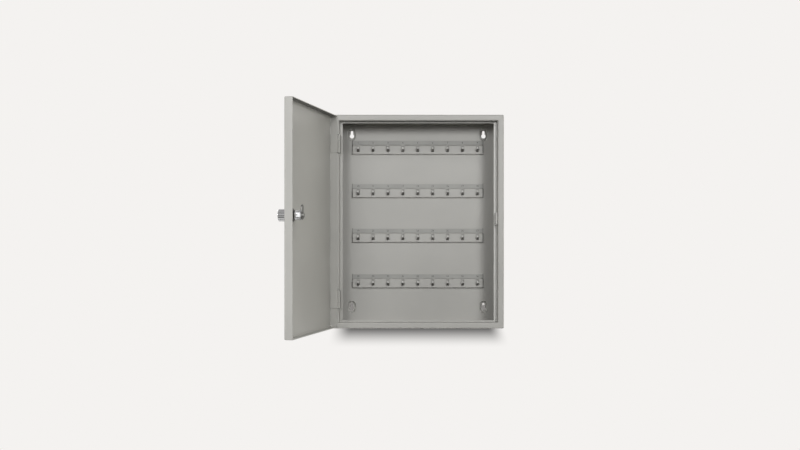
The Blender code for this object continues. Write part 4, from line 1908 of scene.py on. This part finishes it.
@dataclass
class WallShadow:
    """A painted shadow of the cabinet on a pale wall behind it, with painted shade behind its openings and a
    painted highlight in one keyhole.
    """

    wall: Colour
    share: float = 0.02
    fall: Span = (-0.0035, 0.0340)
    left: Span = (-0.0260, 0.0060)
    left_spread: float = 0.3
    right: Span = (-0.0200, 0.0060)
    right_spread: float = 0.4
    edge: Span = (-0.0020, 0.0)
    inside_share: float = 0.31
    inside: Span = (0.0, 0.0060)
    gleam: tuple[float, float, float, float] = (0.75, 0.74, 0.73, 1.0)
    gleam_rise: Span = (0.0285, 0.0305)
    gleam_side: Span = (0.0, 0.0100)
    reach: float = 0.045
    rise: float = 0.036
    side: float = 0.0145

    def build(self) -> None:
        """Build the see-through patch that carries the painted shadow."""
        low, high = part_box("body_shell")
        y = high.y + CLEARANCE
        outline = (
            (low.x - self.reach, low.z - self.reach),
            (high.x + self.reach, low.z - self.reach),
            (high.x + self.reach, low.z),
            (high.x, low.z),
            (high.x, low.z + self.rise),
            (low.x + self.side, low.z + self.rise),
            (low.x + self.side, high.z),
            (low.x, high.z),
            (low.x, low.z),
            (low.x - self.reach, low.z),
        )
        patch = flat_face("wall_shadow", [(x, y, z) for x, z in outline], self._material(low, high))

    def _material(self, low: Vector, high: Vector) -> bpy.types.Material:
        """Make the painted shadow's tints, which are clear from behind and in mirrors.

        Args:
            low: The body's lowest corner.
            high: Its highest corner.

        Returns:
            The material.
        """
        material, graph = new_material("wall_shadow")
        x = graph.axis(graph.place(), "X")
        z = graph.axis(graph.place(), "Z")
        depth = low.z - z
        height = z - low.z
        below = depth.ramp(*self.fall)
        left = (low.x - x - depth * self.left_spread).ramp(*self.left)
        right = (x - high.x - depth * self.right_spread).ramp(*self.right)
        beside = left.at_least(right) * depth.ramp(*self.edge)
        behind = graph.node("ShaderNodeNewGeometry", output="Backfacing")
        unseen = 1 - graph.ray("Is Camera Ray")
        light = (below + beside * (1 - below)).at_least(behind).at_least(unseen)
        # Painted highlight: the bright spot seen through the lower right keyhole.
        gleam = height.ramp(*self.gleam_rise) * x.ramp(*self.gleam_side)
        # Painted shadow below the cabinet, tinted over the background.
        shown = graph.clear(opaque(self.wall, self.share))
        # Painted shade seen behind the keyholes and the hinge notches.
        inside = graph.clear(opaque(self.wall, self.inside_share))
        shown = graph.blend(height.ramp(*self.inside), shown, inside)
        shown = graph.blend(gleam, shown, graph.clear(self.gleam))
        graph.show(graph.blend(light, shown, graph.clear()))
        return material


@dataclass
class Studio:
    """Camera, lamps, world, the pale floor and the painted shadow on the wall."""

    camera_place: tuple[float, float, float] = (-0.0258, -1.731, -0.0306)
    lens: float = 53.28
    shift_up: float = 0.023
    near_clip: float = 0.01
    pale: Colour = (0.905, 0.888, 0.871)
    wall_light: float = 0.78
    wall_edge: Span = (-0.01, 0.01)
    dim_mirror: float = 0.12
    screen_share: float = 0.95
    screen_foot: Span = (-0.06, 0.02)
    screen_top: Span = (0.42, 0.62)
    mirror_edge: Span = (0.0, 0.3)
    floor_drop: float = 0.75
    floor_radius: float = 1.1
    floor_fade: Span = (0.35, 0.95)
    floor_steps: int = 64
    lamps: tuple[Lamp, ...] = (
        Lamp("left_front_lamp", -13.0, 12.0, 0.27),
        Lamp("right_front_lamp", 18.0, 10.0, 0.30),
        Lamp("top_lamp", 14.0, 36.0, 0.17),
        Lamp("left_side_lamp", -55.0, 0.0, 0.31, distance=2.6),
        Lamp("right_wall_lamp", 89.0, 10.0, 0.20, size=1.6, distance=2.6, tint=(1.0, 0.98, 0.85)),
    )

    def build(self) -> None:
        """Set up the studio."""
        bpy.context.scene.view_settings.view_transform = "Standard"
        self._camera()
        self._world()
        for lamp in self.lamps:
            lamp.make()
        self._floor()
        WallShadow(self.pale).build()

    def _camera(self) -> None:
        """Make the level camera at the photograph's place."""
        data = bpy.data.cameras.new("camera")
        data.lens = self.lens
        data.shift_y = self.shift_up
        data.clip_start = self.near_clip
        item = new_object("camera", data)
        item.location = self.camera_place
        item.rotation_euler = (QUARTER, 0.0, 0.0)
        bpy.context.scene.camera = item

    def _world(self) -> None:
        """Make the world: pale where it is seen, and lit from the wall's side."""
        world = bpy.data.worlds.new("studio")
        world.use_nodes = True
        bpy.context.scene.world = world
        graph = Graph(world.node_tree)
        direction = graph.node("ShaderNodeTexCoord", output="Generated")
        wall = graph.axis(direction, "Y")
        up = graph.axis(direction, "Z")
        pale = opaque(self.pale)
        soft = wall.ramp(*self.wall_edge) * self.wall_light
        screen = up.ramp(*self.screen_foot) * (1 - up.ramp(*self.screen_top))
        front = graph.mix(screen, opaque(self.pale, self.dim_mirror), opaque(self.pale, self.screen_share))
        mirrored = graph.mix(wall.ramp(*self.mirror_edge), front, pale)
        seen = graph.ray("Is Camera Ray").at_least(graph.ray("Is Transmission Ray"))
        light = graph.mix(seen, graph.mix(graph.ray("Is Glossy Ray"), soft, mirrored), pale)
        shown = graph.node("ShaderNodeBackground", {}, {"Color": light})
        graph.node("ShaderNodeOutputWorld", {}, {"Surface": shown})

    def _floor(self) -> None:
        """Make the pale floor, which fades into the background at its rim."""
        material, graph = new_material("pale_floor")
        reach = graph.node("ShaderNodeVectorMath", {"operation": "LENGTH"}, {0: graph.place()}, "Value")
        start, end = self.floor_fade
        fade = reach.ramp(self.floor_radius * start, self.floor_radius * end)
        lit = graph.node("ShaderNodeBsdfDiffuse", {}, {"Color": opaque(self.pale)})
        graph.show(graph.blend(fade, lit, graph.clear()))
        circle = arc((0.0, 0.0), self.floor_radius, 0.0, math.tau, self.floor_steps)[:-1]
        floor = flat_face("floor", [(x, y, 0.0) for x, y in circle], material)
        floor.location.z = -self.floor_drop


def main() -> None:
    """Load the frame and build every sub-assembly."""
    logging.basicConfig(level=logging.INFO, format="%(name)s: %(message)s")
    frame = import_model()
    joints = {joint["name"]: joint for joint in frame["joints"]}
    swing = joints["door_swing"]
    opened = Matrix.Rotation(-math.radians(swing["range_deg"][1]), 4, "Z")
    door_place = Matrix.Translation(swing["pos_m"]) @ opened
    lock_origin = Vector(joints["knob_turn"]["pos_m"])
    finishes = Finishes()
    Studio().build()
    Shell(finishes).build()
    BackTray(finishes).build()
    for number in range(1, BARS + 1):
        HookBar(finishes, number).build()
    Strike(finishes).build()
    DoorPan(finishes, door_place, door_place.inverted() @ lock_origin).build()
    for side in HINGES:
        Hinge(finishes, side, door_place).build()
    Lock(finishes, Matrix.Translation(lock_origin) @ opened).build()


if __name__ == "__main__":
    main()
